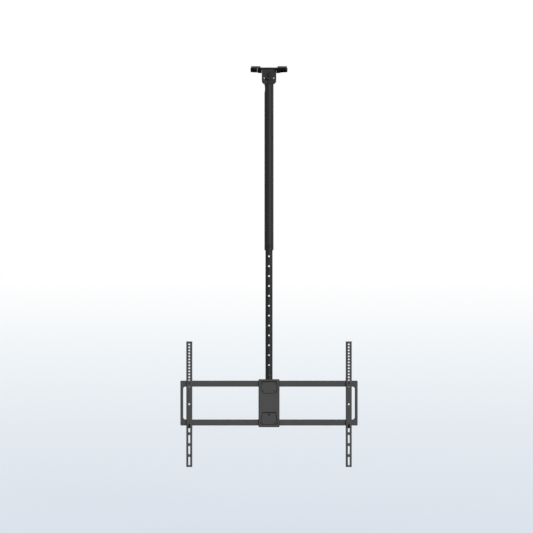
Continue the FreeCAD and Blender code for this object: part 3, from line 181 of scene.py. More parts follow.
class MountStage(bpy.types.PropertyGroup):
    """Camera, floor and lamps."""

    camera_distance: measure("Camera distance", "From the column's axis to the camera", 11.5)
    camera_aside: measure("Camera aside", "Camera's place along X", -0.0126)
    camera_level: measure("Camera level", "Camera's height against the ceiling", -1.0092)
    camera_lens: FloatProperty(
        name="Lens", description="Focal length in millimetres", default=153.6, unit="CAMERA")
    floor_level: measure("Floor level", "Floor's height against the ceiling", -2.4)
    room_light: FloatProperty(
        name="Room light", description="Even light from all round", default=0.27, min=0)
    front_light: FloatProperty(
        name="Front light", description="Soft lamp before the mount, on the right", default=2.3, min=0)
    front_aside: FloatProperty(
        name="Front light aside", description="Angle of the front lamp to the right",
        default=math.radians(25), subtype="ANGLE")
    front_height: FloatProperty(
        name="Front light height", description="Angle of the front lamp above level",
        default=math.radians(10), subtype="ANGLE")
    side_light: FloatProperty(
        name="Side light", description="Soft lamp on the right", default=0.45, min=0)
    back_light: FloatProperty(
        name="Back light", description="Soft lamp behind the mount", default=1.6, min=0)


# Shader expressions


def both_ways(operation):
    """An operator's method and its reflected form, which add a Math node."""

    def plain(signal, other):
        return signal.finish.node("ShaderNodeMath", {"operation": operation}, {0: signal, 1: other})

    def reflected(signal, other):
        return signal.finish.node("ShaderNodeMath", {"operation": operation}, {0: other, 1: signal})

    return plain, reflected


class Signal:
    """A shader node's output that takes part in sums, with the finish that it belongs to."""

    __add__, __radd__ = both_ways("ADD")
    __sub__, __rsub__ = both_ways("SUBTRACT")
    __mul__, __rmul__ = both_ways("MULTIPLY")
    __truediv__, __rtruediv__ = both_ways("DIVIDE")
    __pow__, __rpow__ = both_ways("POWER")
    __gt__, __lt__ = both_ways("GREATER_THAN")

    def __init__(self, finish, socket):
        self.finish = finish
        self.socket = socket

    def __abs__(self):
        return self.finish.node("ShaderNodeMath", {"operation": "ABSOLUTE"}, {0: self})


class Finish:
    """A node tree that is built from expressions; of a material or of the world."""

    def __init__(self, owner, shader, output):
        owner.use_nodes = True
        self.owner = owner
        self.tree = owner.node_tree
        self.tree.nodes.clear()
        self.shader = self.add(shader)
        self.output = self.add(output, sockets={"Surface": self.out(self.shader)})

    def feed(self, node, name, value):
        """Links a socket to a signal, or gives it a number, a vector or a colour."""
        socket = node.inputs[name]
        if isinstance(value, Signal):
            self.tree.links.new(value.socket, socket)
        elif socket.type == "RGBA":
            socket.default_value = (*value, 1)
        else:
            socket.default_value = value

    def add(self, kind, settings=None, sockets=None):
        """Adds a node, sets it up, and then feeds its sockets."""
        made = self.tree.nodes.new(kind)
        for name, value in (settings or {}).items():
            if name == "stops":
                self.set_stops(made.color_ramp, value)
            else:
                setattr(made, name, value)
        for name, value in (sockets or {}).items():
            self.feed(made, name, value)
        return made

    def out(self, node, name=0):
        """A node's output as a signal."""
        return Signal(self, node.outputs[name])

    def node(self, kind, settings=None, sockets=None, output=0):
        """Adds a node and gives its output."""
        return self.out(self.add(kind, settings, sockets), output)

    @staticmethod
    def set_stops(ramp, stops):
        """Gives a colour ramp its stops, each a position and a colour."""
        while len(ramp.elements) > 1:
            ramp.elements.remove(ramp.elements[-1])
        for index, (position, colour) in enumerate(stops):
            if index == 0:
                element = ramp.elements[0]
                element.position = position
            else:
                element = ramp.elements.new(position)
            element.color = (*colour, 1)

    def set(self, **values):
        """Feeds the shader's sockets, which are named with _ for a space; gives the owner."""
        for name, value in values.items():
            self.feed(self.shader, name.replace("_", " "), value)
        return self.owner

    def share(self, mask, **values):
        """Shows a second surface where the mask is 1."""
        sockets = {name.replace("_", " "): value for name, value in values.items()}
        second = self.add(self.shader.bl_idname, sockets=sockets)
        both = {0: mask, 1: self.out(self.shader), 2: self.out(second)}
        self.feed(self.output, "Surface", self.node("ShaderNodeMixShader", sockets=both))

    def place(self):
        """The surface's place in metres, which stays with the piece as it moves."""
        return self.node("ShaderNodeTexCoord", output="Object")

    def facing_up(self):
        """1 on a piece's upper faces, 0 on its upright ones, -1 underneath."""
        return self.parts_of(self.node("ShaderNodeTexCoord", output="Normal"))[2]

    def stretched(self, place, scale):
        """A place scaled along each axis."""
        return self.node("ShaderNodeMapping", sockets={"Vector": place, "Scale": scale})

    def noise(self, place, scale, detail=2.0, rough=0.5):
        """A noise from 0 to 1, finer with a greater scale."""
        sockets = {"Vector": place, "Scale": scale, "Detail": detail, "Roughness": rough}
        return self.node("ShaderNodeTexNoise", sockets=sockets)

    def parts_of(self, place):
        """The X, Y and Z of a place."""
        split = self.add("ShaderNodeSeparateXYZ", sockets={"Vector": place})
        return [self.out(split, axis) for axis in "XYZ"]

    def fade(self, value, low, high, at_low=0.0, at_high=1.0):
        """Goes smoothly from one number to another while the value passes a band."""
        sockets = {"Value": value, "From Min": low, "From Max": high, "To Min": at_low, "To Max": at_high}
        return self.node("ShaderNodeMapRange", {"interpolation_type": "SMOOTHSTEP"}, sockets)

    def band(self, value, low, high, rise, fall):
        """1 between two numbers, with a soft rise before them and a soft fall after."""
        return self.fade(value, low - rise, low) * self.fade(value, high, high + fall, 1.0, 0.0)

    def from_nearest(self, value, pitch):
        """How far a value is from the nearest multiple of the pitch."""
        sockets = {0: value, 1: pitch / 2, 2: -pitch / 2}
        return self.node("ShaderNodeMath", {"operation": "WRAP"}, sockets)

    def mix(self, share, first, second):
        """A colour between two, by share."""
        sockets = {0: share, 6: first, 7: second}
        return self.node("ShaderNodeMix", {"data_type": "RGBA"}, sockets, output=2)

    def bump(self, height, distance, strength):
        """A bumped normal; distance is what a height of 1 stands for, in metres."""
        sockets = {"Height": height, "Distance": distance, "Strength": strength}
        return self.node("ShaderNodeBump", sockets=sockets)


def material(name):
    """A new material's finish."""
    return Finish(bpy.data.materials.new(name), "ShaderNodeBsdfPrincipled", "ShaderNodeOutputMaterial")


def shade(colour, factor):
    """A colour made darker or lighter."""
    return tuple(min(1.0, part * factor) for part in colour)


# Finishes


def powder_coat(name, colour, roughness, grain, gloss, recess=None, step=None, bend=None):
    """Fine-textured powder coat: an orange-peel skin with slight clouds and rubbed specks.

    A recess is the depths of a pressed face and of its recesses' floor, and the heights of
    the floor's upper edges. The slope between them gets painted shade, darkest where it faces
    down, and the floor just under each upper edge gets a painted shadow.
    A step is the two distances from the middle between which a folded plate steps up; the
    low part in the middle gets painted shade.
    A bend is the two heights between which the outside of a fold is given painted light.
    """
    finish = material(name)
    place = finish.place()
    clouds = finish.noise(place, 14.0, 3.0, 0.55)
    peel = finish.noise(place, grain, 2.0, 0.6)
    specks = finish.fade(finish.noise(place, grain * 0.55, 4.0, 0.7), 0.66, 0.72)
    rubbed = finish.fade(finish.noise(place, 3.1, 5.0, 0.62), 0.58, 0.74)
    tone = finish.mix(clouds, shade(colour, 0.9), shade(colour, 1.1))
    tone = finish.mix(specks * 0.35, tone, shade(colour, 1.45))
    tone = finish.mix(rubbed * 0.22, tone, shade(colour, 1.3))
    if recess:
        face, floor, edges = recess
        depth, height = finish.parts_of(place)[1:]
        skin, soft = 0.0001, 0.0005
        # Painted shade on the recesses' slopes, darkest where they face down
        slope = finish.band(depth, face + skin + soft, floor - skin - soft, soft, soft)
        painted_slope_shade = finish.mix(
            finish.fade(finish.facing_up(), -0.5, 0.5), shade(colour, 0.02), shade(colour, 0.42))
        tone = finish.mix(slope * (0.85 + clouds * 0.15), tone, painted_slope_shade)
        # Painted shadow on each recess floor, in a strip just under its upper edge
        sunk = finish.fade(depth, floor - skin - soft, floor - skin)
        for edge in edges:
            under = finish.band(height, edge - SHADOW_STRIP_BELOW, edge + SHADOW_STRIP_ABOVE, soft, soft - SHADOW_STRIP_ABOVE)
            tone = finish.mix(sunk * under, tone, shade(colour, 0.04))
    if step:
        # Painted shade on the plate's low middle
        across = abs(finish.parts_of(place)[0])
        tone = finish.mix(finish.fade(across, *step, 1.0, 0.0), tone, shade(colour, 0.25))
    if bend:
        # Painted light on the outside of the yoke's fold, which lies in the plate's shade
        painted_light_on_fold = finish.band(finish.parts_of(place)[2], *bend, 0.0012, 0.0006)
        tone = finish.mix(painted_light_on_fold, tone, shade(colour, 3.4))
    return finish.set(
        Base_Color=tone,
        Roughness=roughness + (peel - 0.5) * 0.12 - rubbed * 0.05,
        Specular_IOR_Level=gloss,
        Normal=finish.bump(peel * 0.8 + specks * 0.2, 0.00012, 0.55))


def satin_tube(name, colour, roughness, gloss):
    """Smooth satin coat with faint lengthwise draw lines."""
    finish = material(name)
    place = finish.place()
    draw = finish.noise(finish.stretched(place, (420.0, 420.0, 3.0)), 1.0, 3.0, 0.6)
    peel = finish.noise(place, 650.0, 2.0, 0.5)
    clouds = finish.noise(place, 9.0, 3.0, 0.5)
    tone = finish.mix(clouds, shade(colour, 0.88), shade(colour, 1.12))
    tone = finish.mix(finish.fade(draw, 0.6, 0.75) * 0.25, tone, shade(colour, 1.5))
    return finish.set(
        Base_Color=tone,
        Roughness=roughness + (draw - 0.5) * 0.1 + (clouds - 0.5) * 0.06,
        Specular_IOR_Level=gloss,
        Normal=finish.bump(draw * 0.4 + peel * 0.6, 0.00005, 0.6))


def sliding_tube(name, colour, roughness, gloss, first_hole, guide_low):
    """The inner tube's coat, rubbed bright at its height holes and scored where the guides run."""
    finish = material(name)
    place = finish.place()
    across, _, height = finish.parts_of(place)
    draw = finish.noise(finish.stretched(place, (380.0, 380.0, 2.0)), 1.0, 3.0, 0.6)
    peel = finish.noise(place, 700.0, 2.0, 0.5)
    clouds = finish.noise(place, 9.0, 3.0, 0.5)
    aside = finish.from_nearest(height - first_hole, HOLE_PITCH)
    reach = (across * across + aside * aside) ** 0.5
    rim = finish.fade(reach, *HOLE_RIM, 1.0, 0.0) * finish.fade(finish.noise(place, 260.0), 0.4, 0.6)
    soft = 0.02
    scored = finish.fade(draw, 0.62, 0.72) * finish.fade(height, guide_low - soft, guide_low + soft)
    tone = finish.mix(clouds, shade(colour, 0.88), shade(colour, 1.12))
    tone = finish.mix(scored * 0.3, tone, shade(colour, 2.2))
    tone = finish.mix(rim * 0.55, tone, (0.16, 0.16, 0.155))
    return finish.set(
        Base_Color=tone,
        Roughness=roughness - scored * 0.08 - rim * 0.1 + (peel - 0.5) * 0.08,
        Specular_IOR_Level=gloss,
        Normal=finish.bump(peel * 0.6 + draw * 0.4, 0.00005, 0.6))


def gloss_plastic(name, colour):
    """Black moulded plastic, polished at the sides and fine grained underneath."""
    finish = material(name)
    place = finish.place()
    flow = finish.noise(place, 22.0, 2.0, 0.5)
    dust = finish.fade(finish.noise(place, 900.0, 3.0, 0.7), 0.68, 0.74)
    finish.set(
        Base_Color=finish.mix(dust * 0.4, colour, shade(colour, 6.0)),
        Roughness=0.13 + flow * 0.05 + dust * 0.2,
        Specular_IOR_Level=0.06,
        Normal=finish.bump(flow, 0.0004, 0.25))
    grain = finish.noise(place, 1300.0, 2.0, 0.6)
    finish.share(
        finish.fade(finish.facing_up(), -0.75, -0.35, 1.0, 0.0),
        Base_Color=finish.mix(grain, shade(colour, 0.8), shade(colour, 1.6)),
        Roughness=0.75 + grain * 0.15,
        Specular_IOR_Level=0.0,
        Normal=finish.bump(grain, 0.0001, 0.6))
    return finish.owner


def rib_highlight_plastic(name, colour):
    """The same plastic, much lighter in colour as a painted highlight along the rib, and glossier."""
    finish = material(name)
    flow = finish.noise(finish.place(), 160.0, 2.0, 0.5)
    return finish.set(
        Base_Color=finish.mix(flow, shade(colour, 0.85), shade(colour, 1.15)),
        Roughness=0.25 + flow * 0.1,
        Specular_IOR_Level=0.3,
        Normal=finish.bump(flow, 0.0001, 0.4))


def black_fastener(name, colour):
    """Blackened steel with tool marks."""
    finish = material(name)
    place = finish.place()
    marks = finish.noise(place, 1400.0, 3.0, 0.65)
    worn = finish.fade(finish.noise(place, 480.0, 4.0, 0.6), 0.56, 0.68)
    return finish.set(
        Base_Color=finish.mix(worn * 0.5, colour, shade(colour, 2.2)),
        Roughness=0.45 - worn * 0.1 + (marks - 0.5) * 0.15,
        Metallic=0.2 + worn * 0.4,
        Specular_IOR_Level=0.12,
        Normal=finish.bump(marks, 0.00004, 0.6))


def zinc_plate(name, colour):
    """Bright zinc with a faint yellow bloom and turning marks."""
    finish = material(name)
    place = finish.place()
    bloom = finish.noise(place, 60.0, 3.0, 0.6)
    marks = finish.noise(place, 1600.0, 2.0, 0.6)
    warm = (colour[0] * 1.06, colour[1], colour[2] * 0.86)
    return finish.set(
        Base_Color=finish.mix(bloom, colour, warm),
        Roughness=0.3 + bloom * 0.12 + (marks - 0.5) * 0.1,
        Metallic=1.0,
        Normal=finish.bump(marks, 0.00003, 0.5))


def nylon(name, colour):
    """Moulded nylon, fine grained."""
    finish = material(name)
    place = finish.place()
    grain = finish.noise(place, 1100.0, 3.0, 0.6)
    clouds = finish.noise(place, 40.0, 2.0, 0.5)
    return finish.set(
        Base_Color=finish.mix(clouds, shade(colour, 0.85), shade(colour, 1.2)),
        Roughness=0.5 + grain * 0.14,
        Specular_IOR_Level=0.3,
        Normal=finish.bump(grain, 0.00005, 0.5))


def weld_metal(name, colour):
    """Powder coat over a weld's ripples."""
    finish = material(name)
    place = finish.place()
    lumps = finish.noise(place, 420.0, 3.0, 0.6)
    peel = finish.noise(place, 1200.0, 2.0, 0.5)
    return finish.set(
        Base_Color=finish.mix(lumps, shade(colour, 0.85), shade(colour, 1.15)),
        Roughness=0.5 + (peel - 0.5) * 0.15,
        Specular_IOR_Level=0.25,
        Normal=finish.bump(lumps * 0.7 + peel * 0.3, 0.0003, 0.6))


# Shapes


# What turns a shape from Z to an axis
TURNS = {
    "X": Matrix.Rotation(math.radians(90), 4, "Y"),
    "Y": Matrix.Rotation(math.radians(-90), 4, "X"),
    "Z": Matrix.Identity(4),
}


def only(kind, geometry):
    """The items of one kind in what a bmesh operator gives back."""
    return [item for item in geometry if isinstance(item, kind)]


def absorb(shape, piece, matrix=None):
    """Adds a finished bmesh to another one, moved by a matrix."""
    if matrix is not None:
        bmesh.ops.transform(piece, matrix=matrix, verts=piece.verts)
    mesh = bpy.data.meshes.new("work")
    piece.to_mesh(mesh)
    piece.free()
    shape.from_mesh(mesh)
    bpy.data.meshes.remove(mesh)


def turned(profile, steps=48, closed=False):
    """A profile of radii and heights, spun round Z."""
    shape = bmesh.new()
    verts = [shape.verts.new((radius, 0, height)) for radius, height in profile]
    pairs = list(zip(verts, verts[1:]))
    if closed:
        pairs.append((verts[-1], verts[0]))
    edges = [shape.edges.new(pair) for pair in pairs]
    bmesh.ops.spin(
        shape, geom=verts + edges, cent=(0, 0, 0), axis=(0, 0, 1), dvec=(0, 0, 0),
        angle=math.tau, steps=steps, use_merge=True)
    bmesh.ops.remove_doubles(shape, verts=shape.verts, dist=MERGED)
    bmesh.ops.recalc_face_normals(shape, faces=shape.faces)
    return shape


def cut_hexagon(shape, flats):
    """Trims a turned blank to six flats, which leaves the chamfer's arcs on each."""
    for index in range(6):
        angle = math.radians(60 * index + 30)
        outward = Vector((math.cos(angle), math.sin(angle), 0))
        cut = bmesh.ops.bisect_plane(
            shape, geom=shape.verts[:] + shape.edges[:] + shape.faces[:], dist=1e-7,
            plane_co=outward * flats / 2, plane_no=outward, clear_outer=True)
        rim = [edge for edge in only(BMEdge, cut["geom_cut"]) if edge.is_boundary]
        bmesh.ops.holes_fill(shape, edges=rim, sides=0)
    bmesh.ops.recalc_face_normals(shape, faces=shape.faces)


def thread(core, radius, pitch, start, end):
    """A V-shaped ridge wound round a core from one height to another."""
    shape = bmesh.new()
    around = 20
    turns = max(1.0, (end - start - pitch) / pitch)
    steps = int(turns * around)
    foot = core - radius * 0.04
    tooth = ((foot, start), (radius, start + pitch / 2), (foot, start + pitch))
    verts = [shape.verts.new((reach, 0, height)) for reach, height in tooth]
    edges = [shape.edges.new((verts[index], verts[(index + 1) % 3])) for index in range(3)]
    wound = bmesh.ops.spin(
        shape, geom=verts + edges, cent=(0, 0, 0), axis=(0, 0, 1), dvec=(0, 0, pitch / around),
        angle=math.tau * steps / around, steps=steps)
    shape.faces.new(verts)
    shape.faces.new(only(BMVert, wound["geom_last"]))
    bmesh.ops.recalc_face_normals(shape, faces=shape.faces)
    return shape


def shank(radius, length, threaded, pitch):
    """A bolt's shank from Z 0 upwards, sunk into its head, with its thread at the far end."""
    depth = pitch * 0.6
    core = radius - depth
    blunt = radius * 0.15
    sunk = 0.0002
    profile = [
        (0, -sunk),
        (radius, -sunk),
        (radius, length - threaded - depth),
        (core, length - threaded),
        (core, length - blunt),
        (core - blunt, length),
        (0, length),
    ]
    shape = turned(profile, 32)
    absorb(shape, thread(core, radius, pitch, length - threaded, length - blunt * 0.4))
    return shape


def chamfered(flats):
    """A hexagon's radius to its corners, its face's radius, and its 30 degree chamfer's drop."""
    corner, face = flats / math.sqrt(3), flats * 0.475
    return corner, face, (corner - face) * math.tan(math.radians(30))


def hex_head(flats, tall):
    """A forged head from Z -tall to 0, chamfered on top with a washer face below."""
    corner, top, drop = chamfered(flats)
    shape = turned([
        (0, -tall + tall * 0.05),
        (top * 0.86, -tall + tall * 0.05),
        (top * 0.9, -tall),
        (top, -tall),
        (corner, -tall + drop),
        (corner, -tall * 0.07),
        (top, -tall * 0.07),
        (top, 0),
        (0, 0),
    ], 72)
    cut_hexagon(shape, flats)
    return shape


def hex_nut(radius, flats, tall):
    """A nut from Z 0 to tall, chamfered on both faces."""
    corner, face, drop = chamfered(flats)
    lead = radius * 0.12
    bore = radius + 0.00005
    shape = turned([
        (bore, lead),
        (radius + lead, 0),
        (face, 0),
        (corner, drop),
        (corner, tall - drop),
        (face, tall),
        (radius + lead, tall),
        (bore, tall - lead),
    ], 72, closed=True)
    cut_hexagon(shape, flats)
    return shape


def washer(radius, bore, thick):
    """A stamped washer from Z 0 to thick, rounded on its upper rim."""
    soft = thick * 0.25
    return turned([
        (bore, 0),
        (radius - soft * 0.4, 0),
        (radius, soft * 0.4),
        (radius, thick - soft),
        (radius - soft * 0.3, thick - soft * 0.3),
        (radius - soft, thick),
        (bore + soft * 0.6, thick),
        (bore, thick - soft * 0.6),
    ], 48, closed=True)


def socket_head(radius, tall, key):
    """A domed screw head from Z -tall to 0 with a hexagon socket."""
    rim = key * 0.66
    shape = turned([
        (0, -tall * 0.35),
        (rim * 0.98, -tall * 0.35),
        (rim, -tall * 0.98),
        (rim * 1.12, -tall),
        (radius * 0.62, -tall * 0.93),
        (radius * 0.84, -tall * 0.68),
        (radius * 0.96, -tall * 0.36),
        (radius, -tall * 0.12),
        (radius * 0.97, 0),
        (0, 0),
    ], 48)
    for vert in shape.verts:
        reach = vert.co.xy.length
        if rim * 0.9 < reach < rim * 1.05:
            angle = math.atan2(vert.co.y, vert.co.x) % math.radians(60) - math.radians(30)
            vert.co.xy *= key / 2 / math.cos(angle) / reach
    bmesh.ops.recalc_face_normals(shape, faces=shape.faces)
    return shape


def knob(radius, tall, grooves):
    """A thumb screw's knob from Z 0 to tall, grooved round its side."""
    soft = radius * 0.1
    shape = turned([
        (0, soft * 0.8),
        (radius * 0.5, soft * 0.8),
        (radius * 0.58, 0),
        (radius - soft, 0),
        (radius, soft),
        (radius, tall - soft),
        (radius - soft, tall),
        (radius * 0.62, tall),
        (radius * 0.55, tall),
        (0, tall),
    ], grooves * 4)
    for vert in shape.verts:
        if vert.co.xy.length > radius * 0.85:
            angle = math.atan2(vert.co.y, vert.co.x)
            vert.co.xy *= 0.955 + 0.045 * math.cos(angle * grooves)
    bmesh.ops.recalc_face_normals(shape, faces=shape.faces)
    return shape


def bead(start, end, radius):
    """A weld bead along a straight seam, pinched at its ends and rippled like scales."""
    start, end = Vector(start), Vector(end)
    length = (end - start).length
    rings = max(4, int(length / BEAD_RING))
    pinched = 0.55
    shape = bmesh.new()
    rim = bmesh.ops.create_circle(shape, cap_ends=True, segments=10, radius=radius * pinched)["verts"]
    edges = [edge for edge in shape.edges if all(vert in rim for vert in edge.verts)]
    for ring in range(1, rings + 1):
        grown = bmesh.ops.extrude_edge_only(shape, edges=edges)["geom"]
        rim = only(BMVert, grown)
        edges = [edge for edge in only(BMEdge, grown) if all(vert in rim for vert in edge.verts)]
        ripple = 0.9 + 0.1 * math.cos(ring * math.tau / 3)
        ends = min(1.0, pinched + 0.15 * min(ring, rings - ring))
        for vert in rim:
            vert.co.z = ring * length / rings
            vert.co.xy = vert.co.xy.normalized() * radius * ripple * ends
    shape.faces.new(sorted(rim, key=lambda vert: math.atan2(vert.co.y, vert.co.x)))
    bmesh.ops.recalc_face_normals(shape, faces=shape.faces)
    turn = (end - start).to_track_quat("Z", "Y").to_matrix().to_4x4()
    bmesh.ops.transform(shape, matrix=Matrix.Translation(start) @ turn, verts=shape.verts)
    return shape


def hooked_rib(top, corner, half, inner, outer, foot, soft):
    """A flat rib that runs down a wall, round the wall's rounded foot and on under it.

    The corner is the middle of the wall's rounding; inner and outer are the rib's two
    distances from it, and foot is how far the rib goes on under the wall.
    """
    side = -1 if top.y < corner.y else 1
    shape = bmesh.new()
    bmesh.ops.create_grid(shape, x_segments=1, y_segments=1, size=0.5)
    bmesh.ops.scale(shape, vec=(half * 2, outer - inner, 1), verts=shape.verts)
    bmesh.ops.translate(
        shape, vec=(corner.x, corner.y + side * (inner + outer) / 2, top.z), verts=shape.verts)
    end = bmesh.ops.extrude_face_region(shape, geom=shape.faces[:])["geom"]
    bmesh.ops.translate(shape, vec=(0, 0, corner.z - top.z), verts=only(BMVert, end))
    end = bmesh.ops.spin(
        shape, geom=end, cent=corner, axis=(1, 0, 0), angle=math.radians(-90 * side), steps=6)["geom_last"]
    end = bmesh.ops.extrude_face_region(shape, geom=only(BMFace, end))["geom"]
    bmesh.ops.translate(shape, vec=(0, -side * foot, 0), verts=only(BMVert, end))
    inside = [face for face in shape.faces if all(len(edge.link_faces) > 2 for edge in face.edges)]
    bmesh.ops.delete(shape, geom=inside, context="FACES_ONLY")
    bmesh.ops.holes_fill(shape, edges=shape.edges, sides=4)
    bmesh.ops.recalc_face_normals(shape, faces=shape.faces)
    sharp = [edge for edge in shape.edges if edge.calc_face_angle(0) > math.radians(60)]
    bmesh.ops.bevel(
        shape, geom=sharp, offset=soft, offset_type="OFFSET", segments=3, profile=0.5,
        affect="EDGES", material=-1)
    return shape


def softened(node, soft):
    """A merged copy of a node's mesh with its sharp edges rounded off."""
    shape = bmesh.new()
    shape.from_mesh(NODES[node].data)
    bmesh.ops.remove_doubles(shape, verts=shape.verts, dist=MERGED * 2)
    flat, bent = math.radians(0.2), math.radians(40)
    bmesh.ops.dissolve_limit(shape, angle_limit=flat, verts=shape.verts, edges=shape.edges)
    sharp = [edge for edge in shape.edges if edge.calc_face_angle(0) > bent]
    bmesh.ops.bevel(
        shape, geom=sharp, offset=soft, offset_type="OFFSET", segments=2, profile=0.5,
        affect="EDGES", clamp_overlap=False, loop_slide=True, material=-1)
    return shape


def solids(node):
    """The boxes of a node's separate solids, lowest corner first."""
    shape = bmesh.new()
    shape.from_mesh(NODES[node].data)
    bmesh.ops.remove_doubles(shape, verts=shape.verts, dist=MERGED)
    waiting = set(shape.verts)
    boxes = []
    while waiting:
        island = [waiting.pop()]
        for vert in island:
            for edge in vert.link_edges:
                other = edge.other_vert(vert)
                if other in waiting:
                    waiting.discard(other)
                    island.append(other)
        low = Vector([min(vert.co[axis] for vert in island) for axis in range(3)])
        high = Vector([max(vert.co[axis] for vert in island) for axis in range(3)])
        boxes.append((low, high))
    shape.free()
    return sorted(boxes, key=lambda box: tuple(round(part, 4) for part in box[0]))


def at(axis, place):
    """Turns a shape from Z to an axis and moves it to its place."""
    return Matrix.Translation(place) @ TURNS[axis]


def foot_of(box, axis):
    """The middle of a box's lower end along an axis, and the box's length along it."""
    low, high = box
    index = "XYZ".index(axis)
    place = (low + high) / 2
    place[index] = low[index]
    return place, high[index] - low[index]


def finished(name, shape, body, finish, crease=28):
    """Makes a piece of a bmesh: smooth faces, creases from an angle on, on its body."""
    for face in shape.faces:
        face.smooth = True
    for edge in shape.edges:
        if len(edge.link_faces) != 2 or edge.calc_face_angle(0) > math.radians(crease):
            edge.smooth = False
    mesh = bpy.data.meshes.new(name)
    shape.to_mesh(mesh)
    shape.free()
    piece = bpy.data.objects.new(name, mesh)
    bpy.context.scene.collection.objects.link(piece)
    mesh.materials.append(bpy.data.materials[finish])
    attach(piece, body)
    return piece


def stand_in(node, ending, shape, finish, crease=28):
    """Makes a piece in place of a node, on the node's body, and hides the node."""
    piece = finished(node + ending, shape, BODY_OF[node], finish, crease)
    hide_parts(node)
    return piece


def replace_bolts(node, axis, size, threaded):
    """Real hexagon bolts in place of a node's plain ones; size is their thread's name."""
    sizes = bpy.context.scene.mount_sizes
    radius, flats = THREAD_RADII[size], getattr(sizes, size + "_flats")
    head, pitch = getattr(sizes, size + "_head"), getattr(sizes, size + "_pitch")
    shape = bmesh.new()
    for box in solids(node):
        foot, long = foot_of(box, axis)
        foot["XYZ".index(axis)] += head
        absorb(shape, hex_head(flats, head), at(axis, foot))
        absorb(shape, shank(radius, long - head, threaded, pitch), at(axis, foot))
    stand_in(node, "_made", shape, "black_fastener")


def replace_nuts(node, axis, size):
    """Real hexagon nuts in place of a node's plain ones; size is their thread's name."""
    flats = getattr(bpy.context.scene.mount_sizes, size + "_flats")
    shape = bmesh.new()
    for box in solids(node):
        place, tall = foot_of(box, axis)
        absorb(shape, hex_nut(THREAD_RADII[size], flats, tall), at(axis, place))
    stand_in(node, "_made", shape, "zinc_plate" if SLOT_OF[node] == "zinc" else "black_fastener")


def replace_pair(bolts, nuts, axis, size):
    """Bolts and their nuts; the thread runs through the nut, past it and a turn before it."""
    sizes = bpy.context.scene.mount_sizes
    tall = foot_of(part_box(nuts), axis)[1]
    replace_bolts(bolts, axis, size, tall + sizes.thread_shown + getattr(sizes, size + "_pitch"))
    replace_nuts(nuts, axis, size)


# Operators


class MOUNT_OT_finishes(bpy.types.Operator):
    """Makes the finishes and gives them to the frame's own pieces"""

    bl_idname = "mount.finishes"
    bl_label = "Finishes"

    def execute(self, context):
        colours = context.scene.mount_colours
        low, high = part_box("height_lock_bolt")
        first_hole = (low.z + high.z) / 2
        guide = first_hole - GUIDED_RUN
        made = {
            "frame_steel": powder_coat("frame_coat", colours.frame_coat, *FRAME_SKIN),
            "black_steel": powder_coat("head_coat", colours.head_coat, *HEAD_SKIN),
            "tube_steel": satin_tube("tube_coat", colours.tube_coat, 0.45, 0.1),
            "inner_steel": sliding_tube("inner_coat", colours.inner_coat, 0.45, 0.1, first_hole, guide),
            "gloss_plastic": gloss_plastic("cover_plastic", colours.cover_plastic),
            "black_bolt": black_fastener("black_fastener", colours.bolt_black),
            "zinc": zinc_plate("zinc_plate", colours.zinc_grey),
            "nylon": nylon("nylon", colours.nylon_black),
        }
        low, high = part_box("centre_pan")
        edges = (high.z - RECESS_UNDER_TOP, low.z + RECESS_OVER_FOOT)
        recess = (low.y, low.y + RECESS_DEPTH, edges)
        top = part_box("yoke")[1].z
        bend = [top - down for down in YOKE_FOLD]
        finish_of = {
            "yoke": powder_coat("yoke_coat", colours.head_coat, *HEAD_SKIN, bend=bend),
            "centre_pan": powder_coat("pan_coat", colours.frame_coat, *FRAME_SKIN, recess=recess),
            "ceiling_plate": powder_coat("plate_coat", colours.plate_coat, *HEAD_SKIN, step=PLATE_STEP),
        }
        black_fastener("coated_screw", colours.screw_coat)
        weld_metal("head_weld", colours.head_coat)
        weld_metal("frame_weld", colours.frame_coat)
        rib_highlight_plastic("rib_highlight_plastic", colours.rib_painted_highlight)
        for node, piece in NODES.items():
            piece.data.materials.clear()
            piece.data.materials.append(finish_of.get(node, made[SLOT_OF[node]]))
        return {"FINISHED"}


class MOUNT_OT_soft_edges(bpy.types.Operator):
    """Rounds the cut edges of the sheet metal pieces"""

    bl_idname = "mount.soft_edges"
    bl_label = "Soft sheet edges"

    def execute(self, context):
        soft = context.scene.mount_sizes.edge_softness
        for node in SHEET_NODES:
            coat = NODES[node].data.materials[0].name
            piece = stand_in(node, "_soft", softened(node, soft), coat, crease=50)
            flat = piece.modifiers.new("flat_faces", "WEIGHTED_NORMAL")
            flat.keep_sharp = True
        return {"FINISHED"}


class MOUNT_OT_swivel_fasteners(bpy.types.Operator):
    """Bolt and thin nut of the swivel in the ceiling plate"""

    bl_idname = "mount.swivel_fasteners"
    bl_label = "Swivel fasteners"

    def execute(self, context):
        replace_pair("swivel_bolt", "swivel_nut", "Z", "ten")
        return {"FINISHED"}


class MOUNT_OT_slope_fasteners(bpy.types.Operator):
    """Hinge bolt, slope lock bolt, nuts and washers of the yoke"""

    bl_idname = "mount.slope_fasteners"
    bl_label = "Slope fasteners"

    def execute(self, context):
        replace_pair("hinge_bolt", "hinge_nut", "Y", "ten")
        replace_pair("slope_lock_bolt", "slope_lock_nut", "Y", "eight")
        shape = bmesh.new()
        for index, box in enumerate(solids("hinge_washers")):
            place, thick = foot_of(box, "Y")
            outside = (box[1].x - box[0].x) / 2
            turn = TURNS["Y"]
            # The front washer's rounded rim faces forwards
            if index == 0:
                place.y += thick
                turn = Matrix.Rotation(math.radians(90), 4, "X")
            absorb(shape, washer(outside, WASHER_BORE, thick), Matrix.Translation(place) @ turn)
        stand_in("hinge_washers", "_made", shape, "black_fastener")
        return {"FINISHED"}


class MOUNT_OT_height_fasteners(bpy.types.Operator):
    """Cross bolt and nut of the lock collar"""

    bl_idname = "mount.height_fasteners"
    bl_label = "Height lock fasteners"

    def execute(self, context):
        replace_pair("height_lock_bolt", "height_lock_nut", "Y", "eight")
        return {"FINISHED"}


